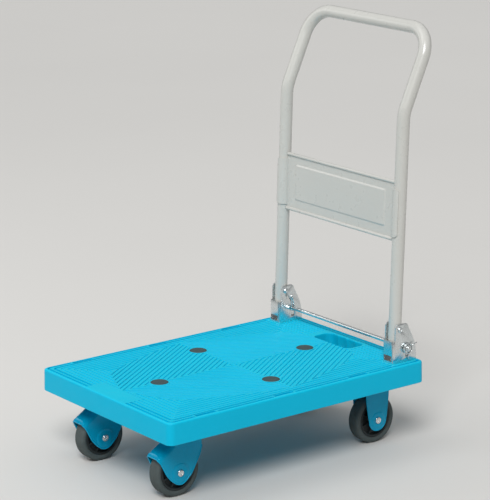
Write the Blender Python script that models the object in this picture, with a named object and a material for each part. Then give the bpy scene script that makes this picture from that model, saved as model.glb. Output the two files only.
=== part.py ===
"""Folding platform cart: a moulded deck on two swivel and two fixed casters, with a fold-down push handle.

The frame has +X towards the handle, +Y to the left side and +Z up. The origin is the centre of the
whole cart's box, on the floor. All sizes below are millimetres, and meshes are made in metres.
"""
import math

import bmesh
import bpy
from mathutils import Vector

MM = 0.001
GAP = 0.3                      # clearance kept between touching pieces

# Deck
DECK_LENGTH = 634.0
DECK_WIDTH = 441.0
DECK_TOP = 182.0
SKIRT_BOTTOM = 138.0
DECK_CORNER = 15.0
DECK_DRAFT = 0.8               # the skirt leans in by this much at its top
DECK_EDGE = 4.0                # rounding of the deck's upper edge
EDGE_STEPS = 2
SKIRT_WALL = 4.0
TOP_WALL = 4.5
RIB = 4.0
RIB_BOTTOM = 165.0
LONG_RIBS_Y = (-70.0, 70.0)
CROSS_RIBS_X = (-150.0, -50.0, 50.0, 150.0)
PAD_BOTTOM = 142.0             # underside of the caster pads
PAD_SIZE = (108.0, 84.0)
BRACKET_PAD_BOTTOM = 160.0
BRACKET_PAD_X = (240.0, 308.0)
BRACKET_PAD_WIDTH = 36.0
BOSS_BOTTOM = 172.0            # underside of the bosses round the grip inserts
BOSS_WALL = 5.0
INSERT_X = 183.0
INSERT_Y = 121.0
INSERT_RADIUS = 17.5
INSERT_THICK = 3.0
INSERT_PROUD = 0.5
INSERT_STEM = 8.0
STEM_BOTTOM = 170.5
HAND_HOLE_X = 269.5
HAND_HOLE_LENGTH = 127.0
HAND_HOLE_WIDTH = 42.0
HAND_HOLE_CORNER = 12.0
HAND_HOLE_BEVEL = 4.0
HAND_HOLE_WALL = 4.0
HAND_HOLE_BOTTOM = 150.0
SLOT_PITCH = 187.0
SLOT_SHIFT = -38.0
SLOT_Y = 209.0
SLOT_SIZE = (41.0, 5.0, 2.0)   # length, width and depth of each edge recess

# Handle
TUBE_RADIUS = 13.0
TUBE_WALL = 1.6
HANDLE_HALF = 184.0            # from the cart's centre plane to a handle tube's centre
LEAN = math.radians(2.2)       # the lower tubes lean back
KINK = math.radians(24.4)      # the upper part leans back
PIVOT_X = 266.5                # from the deck's centre
PIVOT_Z = 251.0
STUB = 35.0                    # tube below the pivot
KINK_UP = 436.5                # tube from the pivot to the kink
LOOP_UP = 173.5                # tube from the kink to the top bar's centre
KINK_RADIUS = 80.0
LOOP_RADIUS = 57.0
PANEL_LOW = 432.0
PANEL_HIGH = 548.0
PANEL_THICK = 1.5
PANEL_FRONT = 3.0              # panel's front face, ahead of the tubes' centre plane
PANEL_HALF = 170.0
FIELD_HALF = 144.5
FIELD_RISE = 2.0               # the panel's raised field, above its flat
FIELD_MARGIN = (20.5, 18.0)    # flat left under and over the field
BEAD_RADIUS = 3.0
SADDLE = (440.0, 538.0)        # heights between which the panel wraps round the tubes
SADDLE_RADII = (13.6, 15.1)
SADDLE_TURN = (-88.0, 35.0)    # from a tube's inner side to just past its front
PLUG_REACH = 9.0               # how far a tube plug goes into its tube

# Hinge brackets and lock
SHEET = 2.3
BRACKET_INNER = 13.7           # half of the room between a bracket's side plates
BRACKET_FRONT = 247.7
BRACKET_REAR = 310.0
FRONT_WALL_TOP = 228.0
WINDOW = (186.5, 198.0)
WINDOW_HALF = 11.5
BEND = 6.0                     # outer radius of the bends beside the front wall
SPRING_SLOT = ((268.3, 241.5), (283.5, 213.0), 3.4)   # its two ends and half its width
PIVOT_SHAFT = 4.0
PIVOT_HEAD = 5.5
PIVOT_NUT = 7.0
LOCK_X = 285.0
LOCK_Z = 210.0
LOCK_RADIUS = 4.0
LOCK_TRAVEL = 14.0
SPRING_RADIUS = 11.5
SPRING_LENGTH = 5.0
SPRING_WIRE = 3.2              # from the collar's room to a spring's inner edge
COLLAR_WALL = 2.6
SCREW_X = (261.0, 300.0)
SCREW_RADIUS = 3.0
SCREW_HEAD = 5.5
SCREW_BOTTOM = 162.0

# Casters
WHEEL_RADIUS = 50.0
TREAD = 30.0
CASTER_HALF = 128.5            # from the cart's centre plane to a wheel's mid-plane
SWIVEL_AXLE_X = -243.0
SWIVEL_OFFSET = 27.0
FIXED_AXLE_X = 253.0
FORK_INNER = 19.5
FORK_WALL = 2.5
CROWN_TOP = 129.0
PLATE = 3.0
PLATE_SIZE = (98.0, 74.0)
PLATE_CORNER = 8.0
BOLT_HOLES = (38.0, 27.0)      # each fixing hole, from the plate's centre
BOLT_HOLE_RADIUS = 4.2
RACE_RADIUS = 26.0
KINGPIN_HEAD = 9.0
AXLE_RADIUS = 5.0
AXLE_HEAD = 7.0
AXLE_NUT = 8.5
BUSH_RADIUS = 7.0
TYRE_SEAT = 38.0
FOOT_RADIUS = 21.5             # round end of a fixed fork's leg

WHEEL_SIDES = 24
TUBE_SIDES = 12
DISC_SIDES = 16
BOLT_SIDES = 12

BELOW = 100.0                  # cutters start here, under the deck, and end above it
ABOVE = 190.0
THROUGH = 20.0                 # half the length of a cutter through a bracket or tube

# The handle's loop reaches behind the deck, so the deck sits ahead of the origin.
HANDLE_REAR = PIVOT_X + KINK_UP * math.sin(LEAN) + LOOP_UP * math.sin(KINK) + TUBE_RADIUS
SHIFT = -(HANDLE_REAR - DECK_LENGTH / 2) / 2


# ---------------------------------------------------------------- materials

def material(name, color, roughness, metallic=0.0):
    """A plain Principled material."""
    made = bpy.data.materials.new(name)
    made.use_nodes = True
    shader = made.node_tree.nodes["Principled BSDF"]
    shader.inputs["Base Color"].default_value = (*color, 1.0)
    shader.inputs["Roughness"].default_value = roughness
    shader.inputs["Metallic"].default_value = metallic
    made.diffuse_color = (*color, 1.0)
    return made


FINISHES = {
    "blue_resin": ((0.02, 0.48, 0.78), 0.42, 0.0),
    "dark_rubber": ((0.07, 0.08, 0.075), 0.75, 0.0),
    "grey_paint": ((0.50, 0.52, 0.51), 0.38, 0.0),
    "zinc": ((0.70, 0.72, 0.74), 0.28, 1.0),
    "blue_paint": ((0.01, 0.25, 0.38), 0.32, 0.2),
    "grey_tyre": ((0.12, 0.13, 0.125), 0.70, 0.0),
    "dark_plastic": ((0.03, 0.033, 0.033), 0.50, 0.0),
}


def clear_scene():
    """Remove every object that is already there."""
    for old in list(bpy.data.objects):
        bpy.data.objects.remove(old)


# ---------------------------------------------------------------- mesh helpers

def add_loops(bm, loops, closed=False):
    """Skin a row of equal point loops; the ends are capped unless the row closes on itself."""
    rings = [[bm.verts.new(Vector(p)) for p in loop] for loop in loops]
    count = len(rings[0])
    pairs = list(zip(rings, rings[1:]))
    if closed:
        pairs.append((rings[-1], rings[0]))
    for low, high in pairs:
        for i in range(count):
            j = (i + 1) % count
            bm.faces.new((low[i], low[j], high[j], high[i]))
    if not closed:
        bm.faces.new(list(reversed(rings[0])))
        bm.faces.new(rings[-1])


def add_box(bm, low, high):
    """An axis-aligned block between two corners."""
    (x0, y0, z0), (x1, y1, z1) = low, high
    add_loops(bm, [[(x0, y0, z), (x1, y0, z), (x1, y1, z), (x0, y1, z)] for z in (z0, z1)])


def ring_point(axis, centre, radius, along, angle):
    """A point at an angle round an axis ("X", "Y" or "Z") through a centre."""
    u, v = radius * math.cos(angle), radius * math.sin(angle)
    offset = {"X": (along, u, v), "Y": (v, along, u), "Z": (u, v, along)}[axis]
    return Vector(centre) + Vector(offset)


def add_turned(bm, axis, centre, profile, sides, solid=True):
    """Turn a profile of (along, radius) points; a solid one is capped, a ring closes on itself."""
    start = -math.pi / 2
    loops = []
    for along, radius in profile:
        loops.append([ring_point(axis, centre, radius, along, start + 2 * math.pi * i / sides)
                      for i in range(sides)])
    add_loops(bm, loops, closed=not solid)


def add_cylinder(bm, axis, centre, radius, low, high, sides=BOLT_SIDES):
    """A plain cylinder from low to high along its axis."""
    add_turned(bm, axis, centre, [(low, radius), (high, radius)], sides)


def add_outline(bm, outline, low, high, plane="XZ"):
    """Extrude a closed outline: an XZ outline runs along Y, and an XY outline runs along Z."""
    if plane == "XZ":
        loops = [[(x, y, z) for x, z in outline] for y in (low, high)]
    else:
        loops = [[(x, y, z) for x, y in outline] for z in (low, high)]
    add_loops(bm, loops)


def rounded_rectangle(length, width, radius, steps=4):
    """Corner points of a rectangle with round corners, centred on 0, 0."""
    points = []
    for corner in range(4):
        angle = math.pi / 2 * corner
        cx = (length / 2 - radius) * (1 if corner in (0, 3) else -1)
        cy = (width / 2 - radius) * (1 if corner in (0, 1) else -1)
        for i in range(steps + 1):
            turn = angle + math.pi / 2 * i / steps
            points.append((cx + radius * math.cos(turn), cy + radius * math.sin(turn)))
    return points


def arc(centre, radius, start, end, steps):
    """Points on an arc, angles in degrees."""
    points = []
    for i in range(steps + 1):
        turn = math.radians(start + (end - start) * i / steps)
        points.append((centre[0] + radius * math.cos(turn), centre[1] + radius * math.sin(turn)))
    return points


def mesh_object(name, bm, origin=(0, 0, 0)):
    """Turn a millimetre bmesh, drawn about the deck's centre, into an object in metres."""
    bmesh.ops.recalc_face_normals(bm, faces=bm.faces)
    moved = Vector(origin)
    for vert in bm.verts:
        vert.co = (vert.co - moved) * MM
    mesh = bpy.data.meshes.new(name)
    bm.to_mesh(mesh)
    bm.free()
    made = bpy.data.objects.new(name, mesh)
    made.location = (moved + Vector((SHIFT, 0, 0))) * MM
    bpy.context.scene.collection.objects.link(made)
    return made


def boolean(target, bm, operation):
    """Join or cut a target with a helper mesh that the build leaves out."""
    helper = mesh_object(f"{target.name}_{operation.lower()}", bm,
                         (target.location / MM) - Vector((SHIFT, 0, 0)))
    helper.hide_render = True
    helper.display_type = "WIRE"
    step = target.modifiers.new(operation.title(), "BOOLEAN")
    step.operation = operation
    step.object = helper
    step.solver = "EXACT"
    step.use_self = True


def finish(target, finish_name):
    """Give a piece its own material and smooth its round faces."""
    color, roughness, metallic = FINISHES[finish_name]
    target.data.materials.append(material(target.name, color, roughness, metallic))
    target.data.shade_smooth()
    target.data.set_sharp_from_angle(angle=math.radians(35))


def make(name, finish_name, body, cut=None, join=None, origin=(0, 0, 0)):
    """Build one piece from a body mesh, what is joined to it and what is cut from it."""
    made = mesh_object(name, body, origin)
    if join:
        boolean(made, join, "UNION")
    if cut:
        boolean(made, cut, "DIFFERENCE")
    finish(made, finish_name)


# ---------------------------------------------------------------- deck

def caster_centres():
    """Each caster's name, its mounting centre and which side it is on."""
    swivel_x = SWIVEL_AXLE_X + SWIVEL_OFFSET
    for side, sign in (("right", -1), ("left", 1)):
        yield f"swivel_{side}", swivel_x, sign
    for side, sign in (("right", -1), ("left", 1)):
        yield f"fixed_{side}", FIXED_AXLE_X, sign


def deck_shell():
    """The deck's outer skin and its open underside, as one skinned row of loops."""
    inner_top = DECK_TOP - TOP_WALL
    levels = []
    for i in range(EDGE_STEPS + 1):
        turn = math.pi / 2 * (1 - i / EDGE_STEPS)
        inset = DECK_DRAFT + DECK_EDGE * (1 - math.cos(turn))
        levels.append((DECK_TOP - DECK_EDGE * (1 - math.sin(turn)), inset))
    levels += [(SKIRT_BOTTOM, 0.0), (SKIRT_BOTTOM, SKIRT_WALL), (inner_top, SKIRT_WALL + DECK_DRAFT)]
    bm = bmesh.new()
    loops = []
    for z, inset in levels:
        outline = rounded_rectangle(DECK_LENGTH - 2 * inset, DECK_WIDTH - 2 * inset, DECK_CORNER - inset)
        loops.append([(x, y, z) for x, y in outline])
    add_loops(bm, loops)
    return bm


def deck_underside():
    """Ribs, caster pads, bracket pads, insert bosses and the wall round the hand hole."""
    bm = bmesh.new()
    into_top = DECK_TOP - TOP_WALL + 2.0        # joined pieces end at slightly different heights
    reach_x = DECK_LENGTH / 2 - SKIRT_WALL + 1.5
    reach_y = DECK_WIDTH / 2 - SKIRT_WALL + 1.5
    for y in LONG_RIBS_Y:
        add_box(bm, (-reach_x, y - RIB / 2, RIB_BOTTOM), (reach_x, y + RIB / 2, into_top))
    for x in CROSS_RIBS_X:
        add_box(bm, (x - RIB / 2, -reach_y, RIB_BOTTOM + 1), (x + RIB / 2, reach_y, into_top - 0.5))
    half_x, half_y = PAD_SIZE[0] / 2, PAD_SIZE[1] / 2
    for _, x, sign in caster_centres():
        y = sign * CASTER_HALF
        add_box(bm, (x - half_x, y - half_y, PAD_BOTTOM), (x + half_x, y + half_y, into_top - 1))
    half = BRACKET_PAD_WIDTH / 2
    for sign in (-1, 1):
        y = sign * HANDLE_HALF
        low = (BRACKET_PAD_X[0], y - half, BRACKET_PAD_BOTTOM)
        add_box(bm, low, (BRACKET_PAD_X[1], y + half, into_top - 0.25))
    add_outline(bm, hand_hole_outline(2 * HAND_HOLE_WALL), HAND_HOLE_BOTTOM, into_top - 0.75, "XY")
    for x, y in insert_places():
        add_cylinder(bm, "Z", (x, y, 0), INSERT_RADIUS + BOSS_WALL, BOSS_BOTTOM, into_top - 0.6)
    return bm


def hand_hole_outline(grow):
    """The hand hole seen from above, made longer and wider by grow."""
    outline = rounded_rectangle(HAND_HOLE_WIDTH + grow, HAND_HOLE_LENGTH + grow, HAND_HOLE_CORNER + grow / 2)
    return [(HAND_HOLE_X + x, y) for x, y in outline]


def insert_places():
    """The four grip inserts lie at the corners of a diamond."""
    return [(-INSERT_X, 0.0), (INSERT_X, 0.0), (0.0, INSERT_Y), (0.0, -INSERT_Y)]


def deck_cuts():
    """The hand hole, insert seats, edge recesses, screw holes and kingpin pockets."""
    bm = bmesh.new()
    loops = []
    bevel = HAND_HOLE_BEVEL
    for z, grow in ((DECK_TOP + bevel / 2, bevel), (DECK_TOP - bevel, -bevel), (BELOW, -bevel)):
        loops.append([(x, y, z) for x, y in hand_hole_outline(grow)])
    add_loops(bm, loops)
    seat, stem, disc = DECK_TOP - INSERT_THICK, INSERT_STEM + GAP, INSERT_RADIUS + GAP
    for x, y in insert_places():
        add_turned(bm, "Z", (x, y, 0), [(BELOW, stem), (seat, stem), (seat, disc), (ABOVE, disc)], DISC_SIDES)
    length, width, depth = SLOT_SIZE
    for step in (-1, 0, 1):
        for sign in (-1, 1):
            x, y = SLOT_SHIFT + step * SLOT_PITCH, sign * SLOT_Y
            low = (x - length / 2, y - width / 2, DECK_TOP - depth)
            add_box(bm, low, (x + length / 2, y + width / 2, ABOVE))
    for sign in (-1, 1):
        for x in SCREW_X:
            add_cylinder(bm, "Z", (x, sign * HANDLE_HALF, 0), SCREW_RADIUS + GAP, BELOW, ABOVE, 8)
    pocket_radius, pocket_depth = KINGPIN_HEAD + 3.0, 8.0
    for name, x, sign in caster_centres():
        if name.startswith("swivel"):
            place = (x, sign * CASTER_HALF, 0)
            add_cylinder(bm, "Z", place, pocket_radius, BELOW, PAD_BOTTOM + pocket_depth)
    return bm


def build_deck():
    make("deck", "blue_resin", deck_shell(), cut=deck_cuts(), join=deck_underside())


def build_inserts():
    """Rubber discs that stop loads from sliding; each has a stem through the deck."""
    names = ("front", "rear", "left", "right")
    top = DECK_TOP + INSERT_PROUD
    seat = DECK_TOP - INSERT_THICK + GAP
    chamfer = 0.8
    for name, (x, y) in zip(names, insert_places()):
        bm = bmesh.new()
        profile = [(STEM_BOTTOM, INSERT_STEM), (seat, INSERT_STEM), (seat, INSERT_RADIUS),
                   (top - chamfer, INSERT_RADIUS), (top, INSERT_RADIUS - chamfer)]
        add_turned(bm, "Z", (x, y, 0), profile, DISC_SIDES)
        make(f"grip_insert_{name}", "dark_rubber", bm)


# ---------------------------------------------------------------- handle

def frame_point(across, up, back=0.0):
    """A point on the handle, measured up the tube from the pivot."""
    if up <= KINK_UP:
        x, z = PIVOT_X + up * math.sin(LEAN), PIVOT_Z + up * math.cos(LEAN)
        tilt = LEAN
    else:
        rest = up - KINK_UP
        x = PIVOT_X + KINK_UP * math.sin(LEAN) + rest * math.sin(KINK)
        z = PIVOT_Z + KINK_UP * math.cos(LEAN) + rest * math.cos(KINK)
        tilt = KINK
    return Vector((x + back * math.cos(tilt), across, z - back * math.sin(tilt)))


def fillet(before, corner, after, radius, steps):
    """Points that round a corner between two straight runs."""
    a = (before - corner).normalized()
    b = (after - corner).normalized()
    half = math.acos(max(-1.0, min(1.0, a.dot(b)))) / 2
    reach = radius / math.tan(half)
    centre = corner + (a + b).normalized() * (radius / math.sin(half))
    start = corner + a * reach - centre
    end = corner + b * reach - centre
    sweep = math.pi - 2 * half
    points = []
    for i in range(steps + 1):
        t = i / steps
        turned = start * math.sin((1 - t) * sweep) + end * math.sin(t * sweep)
        points.append(centre + turned / math.sin(sweep))
    return points


def handle_path():
    """The tube's centre line, from one lower end round the loop to the other."""
    heights = (-STUB, KINK_UP, KINK_UP + LOOP_UP)
    corners = [frame_point(-HANDLE_HALF, up) for up in heights]
    corners += [frame_point(HANDLE_HALF, up) for up in reversed(heights)]
    radii = [0, KINK_RADIUS, LOOP_RADIUS, LOOP_RADIUS, KINK_RADIUS, 0]
    steps = [0, 3, 6, 6, 3, 0]
    path = [corners[0]]
    for i in range(1, 5):
        path += fillet(corners[i - 1], corners[i], corners[i + 1], radii[i], steps[i])
    path.append(corners[5])
    return path


def circle(centre, side, third, radius, sides):
    """Points of a circle in the plane of two unit vectors."""
    points = []
    for k in range(sides):
        turn = 2 * math.pi * k / sides
        points.append(centre + (side * math.cos(turn) + third * math.sin(turn)) * radius)
    return points


def tube_rings(path, radius, sides):
    """Rings of points round a path, each square to it, with no twist."""
    rings = []
    side = None
    for i, point in enumerate(path):
        ahead = path[min(i + 1, len(path) - 1)] - point
        behind = point - path[max(i - 1, 0)]
        along = (ahead.normalized() + behind.normalized()).normalized()
        if side is None:
            side = Vector((0, 1, 0)).cross(along).normalized()
        side = (side - along * side.dot(along)).normalized()
        rings.append(circle(point, side, along.cross(side), radius, sides))
    return rings


def build_handle():
    """The bent tube, hollow, with a cross hole for each pivot bolt."""
    path = handle_path()
    bm = bmesh.new()
    outer = tube_rings(path, TUBE_RADIUS, TUBE_SIDES)
    inner = tube_rings(path, TUBE_RADIUS - TUBE_WALL, TUBE_SIDES)
    add_loops(bm, outer + list(reversed(inner)), closed=True)
    cut = bmesh.new()
    for sign in (-1, 1):
        place = (PIVOT_X, sign * HANDLE_HALF, PIVOT_Z)
        add_cylinder(cut, "Y", place, PIVOT_SHAFT + GAP, -THROUGH, THROUGH)
    make("handle_tube", "grey_paint", bm, cut=cut, origin=(PIVOT_X, 0, PIVOT_Z))


def build_tube_plugs():
    """A plug closes the lower end of each tube."""
    across = Vector((0, 1, 0))
    bore = TUBE_RADIUS - TUBE_WALL - GAP
    for side, sign in (("right", -1), ("left", 1)):
        plug = bmesh.new()
        end = frame_point(sign * HANDLE_HALF, -STUB)
        along = (frame_point(sign * HANDLE_HALF, 0) - end).normalized()
        profile = [(-1.5, TUBE_RADIUS - 1), (-GAP, TUBE_RADIUS - 0.2), (-GAP, bore), (PLUG_REACH, bore)]
        side_ways = across.cross(along)
        add_loops(plug, [circle(end + along * up, side_ways, across, radius, TUBE_SIDES)
                         for up, radius in profile])
        make(f"tube_plug_{side}", "dark_plastic", plug, origin=(PIVOT_X, 0, PIVOT_Z))


def up_at(z):
    """How far up the lower tube, from the pivot, a height above the floor is."""
    return (z - PIVOT_Z) / math.cos(LEAN)


def add_slab(bm, low, high, half, front, rear):
    """A block square to the lower tubes, between two heights above the floor."""
    loops = []
    for up in (up_at(low), up_at(high)):
        loops.append([frame_point(-half, up, front), frame_point(half, up, front),
                      frame_point(half, up, rear), frame_point(-half, up, rear)])
    add_loops(bm, loops)


def add_saddle(bm, sign, steps=6):
    """The panel's curved flange on one side, which wraps round the front of a tube."""
    inner, outer = SADDLE_RADII
    start, end = SADDLE_TURN
    turns = [math.radians(start + (end - start) * i / steps) for i in range(steps + 1)]
    outline = [(inner, turn) for turn in turns] + [(outer, turn) for turn in reversed(turns)]
    loops = []
    for z in SADDLE:
        loops.append([frame_point(sign * (HANDLE_HALF + radius * math.sin(turn)), up_at(z),
                                  -radius * math.cos(turn)) for radius, turn in outline])
    add_loops(bm, loops)


def build_panel():
    """The pressed panel: a plate with a raised field, a bead along two edges and a saddle on each tube."""
    bm = bmesh.new()
    front = -PANEL_FRONT
    add_slab(bm, PANEL_LOW, PANEL_HIGH, PANEL_HALF, front, front + PANEL_THICK)
    join = bmesh.new()
    field_low, field_high = PANEL_LOW + FIELD_MARGIN[0], PANEL_HIGH - FIELD_MARGIN[1]
    add_slab(join, field_low, field_high, FIELD_HALF, front - FIELD_RISE, front + 0.4)
    for z in (PANEL_LOW, PANEL_HIGH):
        centre = frame_point(0, up_at(z), front + 0.5)
        add_cylinder(join, "Y", centre, BEAD_RADIUS, -PANEL_HALF + 1, PANEL_HALF - 1, 8)
    for sign in (-1, 1):
        add_saddle(join, sign)
    make("handle_panel", "grey_paint", bm, join=join, origin=(PIVOT_X, 0, PIVOT_Z))


# ---------------------------------------------------------------- hinge brackets and lock

def fan_outline():
    """A bracket's side plate, seen from the side."""
    base = DECK_TOP + GAP
    front = BRACKET_FRONT + BEND
    return [(front, base), (BRACKET_REAR, base), (BRACKET_REAR, 199), (306.5, 215), (301, 231), (295, 245),
            (289.5, 255), (286, 260), (281, 263), (260, 263), (255.5, 261), (front, 256)]


def front_wall_outline(sign):
    """The bracket's front wall and the bends that join it to the side plates, seen from above."""
    outer = BRACKET_INNER + SHEET
    middle = BRACKET_FRONT + BEND
    rear = middle + 1.0                         # runs into the side plates
    right, left = (middle, BEND - outer), (middle, outer - BEND)
    outline = arc(left, BEND, 90, 180, 3) + arc(right, BEND, 180, 270, 3)
    outline += [(rear, -outer), (rear, -BRACKET_INNER)]
    outline += arc(right, BEND - SHEET, 270, 180, 3) + arc(left, BEND - SHEET, 180, 90, 3)
    outline += [(rear, BRACKET_INNER), (rear, outer)]
    return [(x, y + sign * HANDLE_HALF) for x, y in outline]


def lock_slot_outline():
    """The upright slot that the lock bar slides in."""
    half = LOCK_RADIUS + GAP
    top = arc((LOCK_X, LOCK_Z), half, 0, 180, 4)
    bottom = arc((LOCK_X, LOCK_Z - LOCK_TRAVEL), half, 180, 360, 4)
    return top + bottom


def spring_slot_outline():
    """The slanted slot in a bracket's inner plate, above the lock bar's slot."""
    upper, lower, half = SPRING_SLOT
    slope = math.degrees(math.atan2(upper[1] - lower[1], upper[0] - lower[0]))
    return arc(upper, half, slope - 90, slope + 90, 4) + arc(lower, half, slope + 90, slope + 270, 4)


def build_brackets():
    """Plated steel channels that hold the handle's feet, each with its base plate."""
    base = DECK_TOP + GAP
    for side, sign in (("right", -1), ("left", 1)):
        centre = sign * HANDLE_HALF
        body = bmesh.new()
        add_outline(body, front_wall_outline(sign), base, FRONT_WALL_TOP, "XY")
        join = bmesh.new()
        for edge in (-1, 1):
            inner = centre + edge * BRACKET_INNER
            outer = centre + edge * (BRACKET_INNER + SHEET)
            add_outline(join, fan_outline(), min(inner, outer), max(inner, outer))
        add_box(join, (BRACKET_FRONT + 1, centre - BRACKET_INNER - 0.5, base),
                (BRACKET_REAR - 2, centre + BRACKET_INNER + 0.5, base + SHEET))
        cut = bmesh.new()
        add_box(cut, (BRACKET_FRONT - 2, centre - WINDOW_HALF, WINDOW[0]),
                (BRACKET_FRONT + 4, centre + WINDOW_HALF, WINDOW[1]))
        add_cylinder(cut, "Y", (PIVOT_X, centre, PIVOT_Z), PIVOT_SHAFT + GAP, -THROUGH, THROUGH)
        add_outline(cut, lock_slot_outline(), centre - THROUGH, centre + THROUGH)
        inner_face = centre - sign * (BRACKET_INNER + SHEET / 2)
        add_outline(cut, spring_slot_outline(), inner_face - SHEET, inner_face + SHEET)
        for x in SCREW_X:
            add_cylinder(cut, "Z", (x, centre, 0), SCREW_RADIUS + GAP, base - SHEET, base + 2 * SHEET, 8)
        make(f"hinge_bracket_{side}", "zinc", body, cut=cut, join=join)


def add_nut(bm, centre, hole, radius, near, far):
    """A plain ring on the Y axis, from near to far."""
    profile = [(near, hole), (near, radius), (far, radius), (far, hole)]
    add_turned(bm, "Y", centre, profile, BOLT_SIDES, solid=False)


def build_pivots():
    """A bolt through each bracket and tube foot, and its nut on the inner side."""
    plate = BRACKET_INNER + SHEET
    for side, sign in (("right", -1), ("left", 1)):
        centre = (PIVOT_X, sign * HANDLE_HALF, PIVOT_Z)
        bolt = bmesh.new()
        outside, end = sign * (plate + GAP), -sign * (plate + 7.0)
        profile = [(end, PIVOT_SHAFT), (outside, PIVOT_SHAFT), (outside, PIVOT_HEAD),
                   (sign * (plate + 2.5), PIVOT_HEAD - 0.3), (sign * (plate + 3.3), PIVOT_HEAD - 1.9)]
        add_turned(bolt, "Y", centre, profile, BOLT_SIDES)
        make(f"pivot_bolt_{side}", "zinc", bolt)
        nut = bmesh.new()
        add_nut(nut, centre, PIVOT_SHAFT + GAP, PIVOT_NUT, -sign * (plate + GAP), -sign * (plate + 5.3))
        make(f"pivot_nut_{side}", "zinc", nut)


def build_bracket_screws():
    """Screws that hold each bracket's base plate to the deck."""
    seat = DECK_TOP + GAP + SHEET + GAP
    for side, sign in (("right", -1), ("left", 1)):
        for place, x in zip(("front", "rear"), SCREW_X):
            bm = bmesh.new()
            profile = [(SCREW_BOTTOM, SCREW_RADIUS), (seat, SCREW_RADIUS), (seat, SCREW_HEAD),
                       (seat + 2.0, SCREW_HEAD - 0.5), (seat + 3.2, SCREW_HEAD - 2.5)]
            add_turned(bm, "Z", (x, sign * HANDLE_HALF, 0), profile, 8)
            make(f"bracket_screw_{side}_{place}", "zinc", bm)


def build_lock():
    """The rod that a foot presses down, with a spring and a collar at each end."""
    origin = (LOCK_X, 0, LOCK_Z)
    spring_at = HANDLE_HALF + BRACKET_INNER + SHEET + 2 * GAP
    end = spring_at + SPRING_LENGTH + 3.0
    rod = bmesh.new()
    add_turned(rod, "Y", origin, [(-end, LOCK_RADIUS - 0.8), (-end + 0.8, LOCK_RADIUS),
                                  (end - 0.8, LOCK_RADIUS), (end, LOCK_RADIUS - 0.8)], BOLT_SIDES)
    make("lock_bar", "zinc", rod, origin=origin)
    bore = LOCK_RADIUS + GAP
    for side, sign in (("right", -1), ("left", 1)):
        spring = bmesh.new()
        near, far = sign * spring_at, sign * (spring_at + SPRING_LENGTH)
        inner, rounding = bore + SPRING_WIRE, 0.6
        profile = [(near, inner), (near, SPRING_RADIUS - rounding), ((near + far) / 2, SPRING_RADIUS),
                   (far, SPRING_RADIUS - rounding), (far, inner)]
        add_turned(spring, "Y", origin, profile, DISC_SIDES, solid=False)
        make(f"lock_spring_{side}", "zinc", spring, origin=origin)
        collar = bmesh.new()
        inside, outside = sign * (spring_at + 0.4), sign * (spring_at + SPRING_LENGTH + 1.4)
        add_nut(collar, origin, bore, bore + COLLAR_WALL, inside, outside)
        make(f"lock_collar_{side}", "zinc", collar, origin=origin)


# ---------------------------------------------------------------- casters

def fork_section(top, low, wall_top, shoulder, steps=3):
    """An upside-down U across the wheel: the outer line over the top, then the inner line back."""
    outer = FORK_INNER + FORK_WALL
    radius = min(shoulder, (top - low) * 0.6)
    inner_radius = max(radius - FORK_WALL, 1.0)
    inner_top = top - wall_top
    line = [(-outer, low)]
    line += [(-y, z) for y, z in arc((outer - radius, top - radius), radius, 0, 90, steps)]
    line += arc((outer - radius, top - radius), radius, 90, 0, steps)
    line.append((outer, low))
    line.append((FORK_INNER, low))
    inner_centre = (FORK_INNER - inner_radius, inner_top - inner_radius)
    line += arc(inner_centre, inner_radius, 0, 90, steps)
    line += [(-y, z) for y, z in arc(inner_centre, inner_radius, 90, 0, steps)]
    line.append((-FORK_INNER, low))
    return line


def fork_body(axle_x, centre_y, stations, shoulder):
    """Sweep the U section along X; each station is (x from the axle, top, lower edge)."""
    bm = bmesh.new()
    loops = []
    for i, (x, top, low) in enumerate(stations):
        before, after = stations[max(i - 1, 0)], stations[min(i + 1, len(stations) - 1)]
        slope = (after[1] - before[1]) / (after[0] - before[0])
        wall_top = FORK_WALL * math.sqrt(1 + min(abs(slope), 1.6) ** 2)
        section = fork_section(top, low, wall_top, shoulder)
        loops.append([(axle_x + x, centre_y + y, z) for y, z in section])
    add_loops(bm, loops)
    return bm


def value_at(x, points):
    """The height at x of a line through (x, height) points."""
    for (x0, v0), (x1, v1) in zip(points, points[1:]):
        if x <= x1:
            return v0 + (v1 - v0) * (x - x0) / (x1 - x0)
    return points[-1][1]


# A swivel fork's hood and lower edge, as (x from the axle, height) points
SWIVEL_TOP = [(-51, 91), (-48, 94), (-43, 97), (-34, 103), (-24, 109.5), (-14, 116.5), (-5, 123.5),
              (0, 127.5), (3, CROWN_TOP), (53, CROWN_TOP)]
SWIVEL_LOW = [(-51, 84.5), (-48.5, 86.5), (-46.5, 83), (-42, 72), (-35, 57), (-26, 44), (-17, 32.5),
              (-8, 26.2), (2, 25.0), (11, 27.5), (20, 33.5), (31, 45), (42, 61), (49, 75), (52.5, 92)]


def swivel_stations():
    """The hood and legs of a swivel fork: its crown, the hood over the wheel and the swept legs."""
    return [(x, value_at(x, SWIVEL_TOP), low) for x, low in SWIVEL_LOW]


def fixed_stations():
    """The straight legs of a fixed fork, which taper to a round foot at the axle."""
    foot = FOOT_RADIUS
    stations = [(-31.5, 138.0), (-30.5, 106.0), (-27.5, 80.0), (-foot - 0.3, 49.0)]
    for angle in range(207, 334, 21):
        turn = math.radians(angle)
        stations.append((foot * math.cos(turn), WHEEL_RADIUS + foot * math.sin(turn)))
    stations += [(foot + 0.3, 49.0), (24.5, 70.0), (26.5, 90.0), (28.5, 118.0), (29.5, 138.0)]
    crown, highest_edge = PAD_BOTTOM - 2.0, PAD_BOTTOM - 8.0
    return [(x, crown, min(low, highest_edge)) for x, low in stations]


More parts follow.
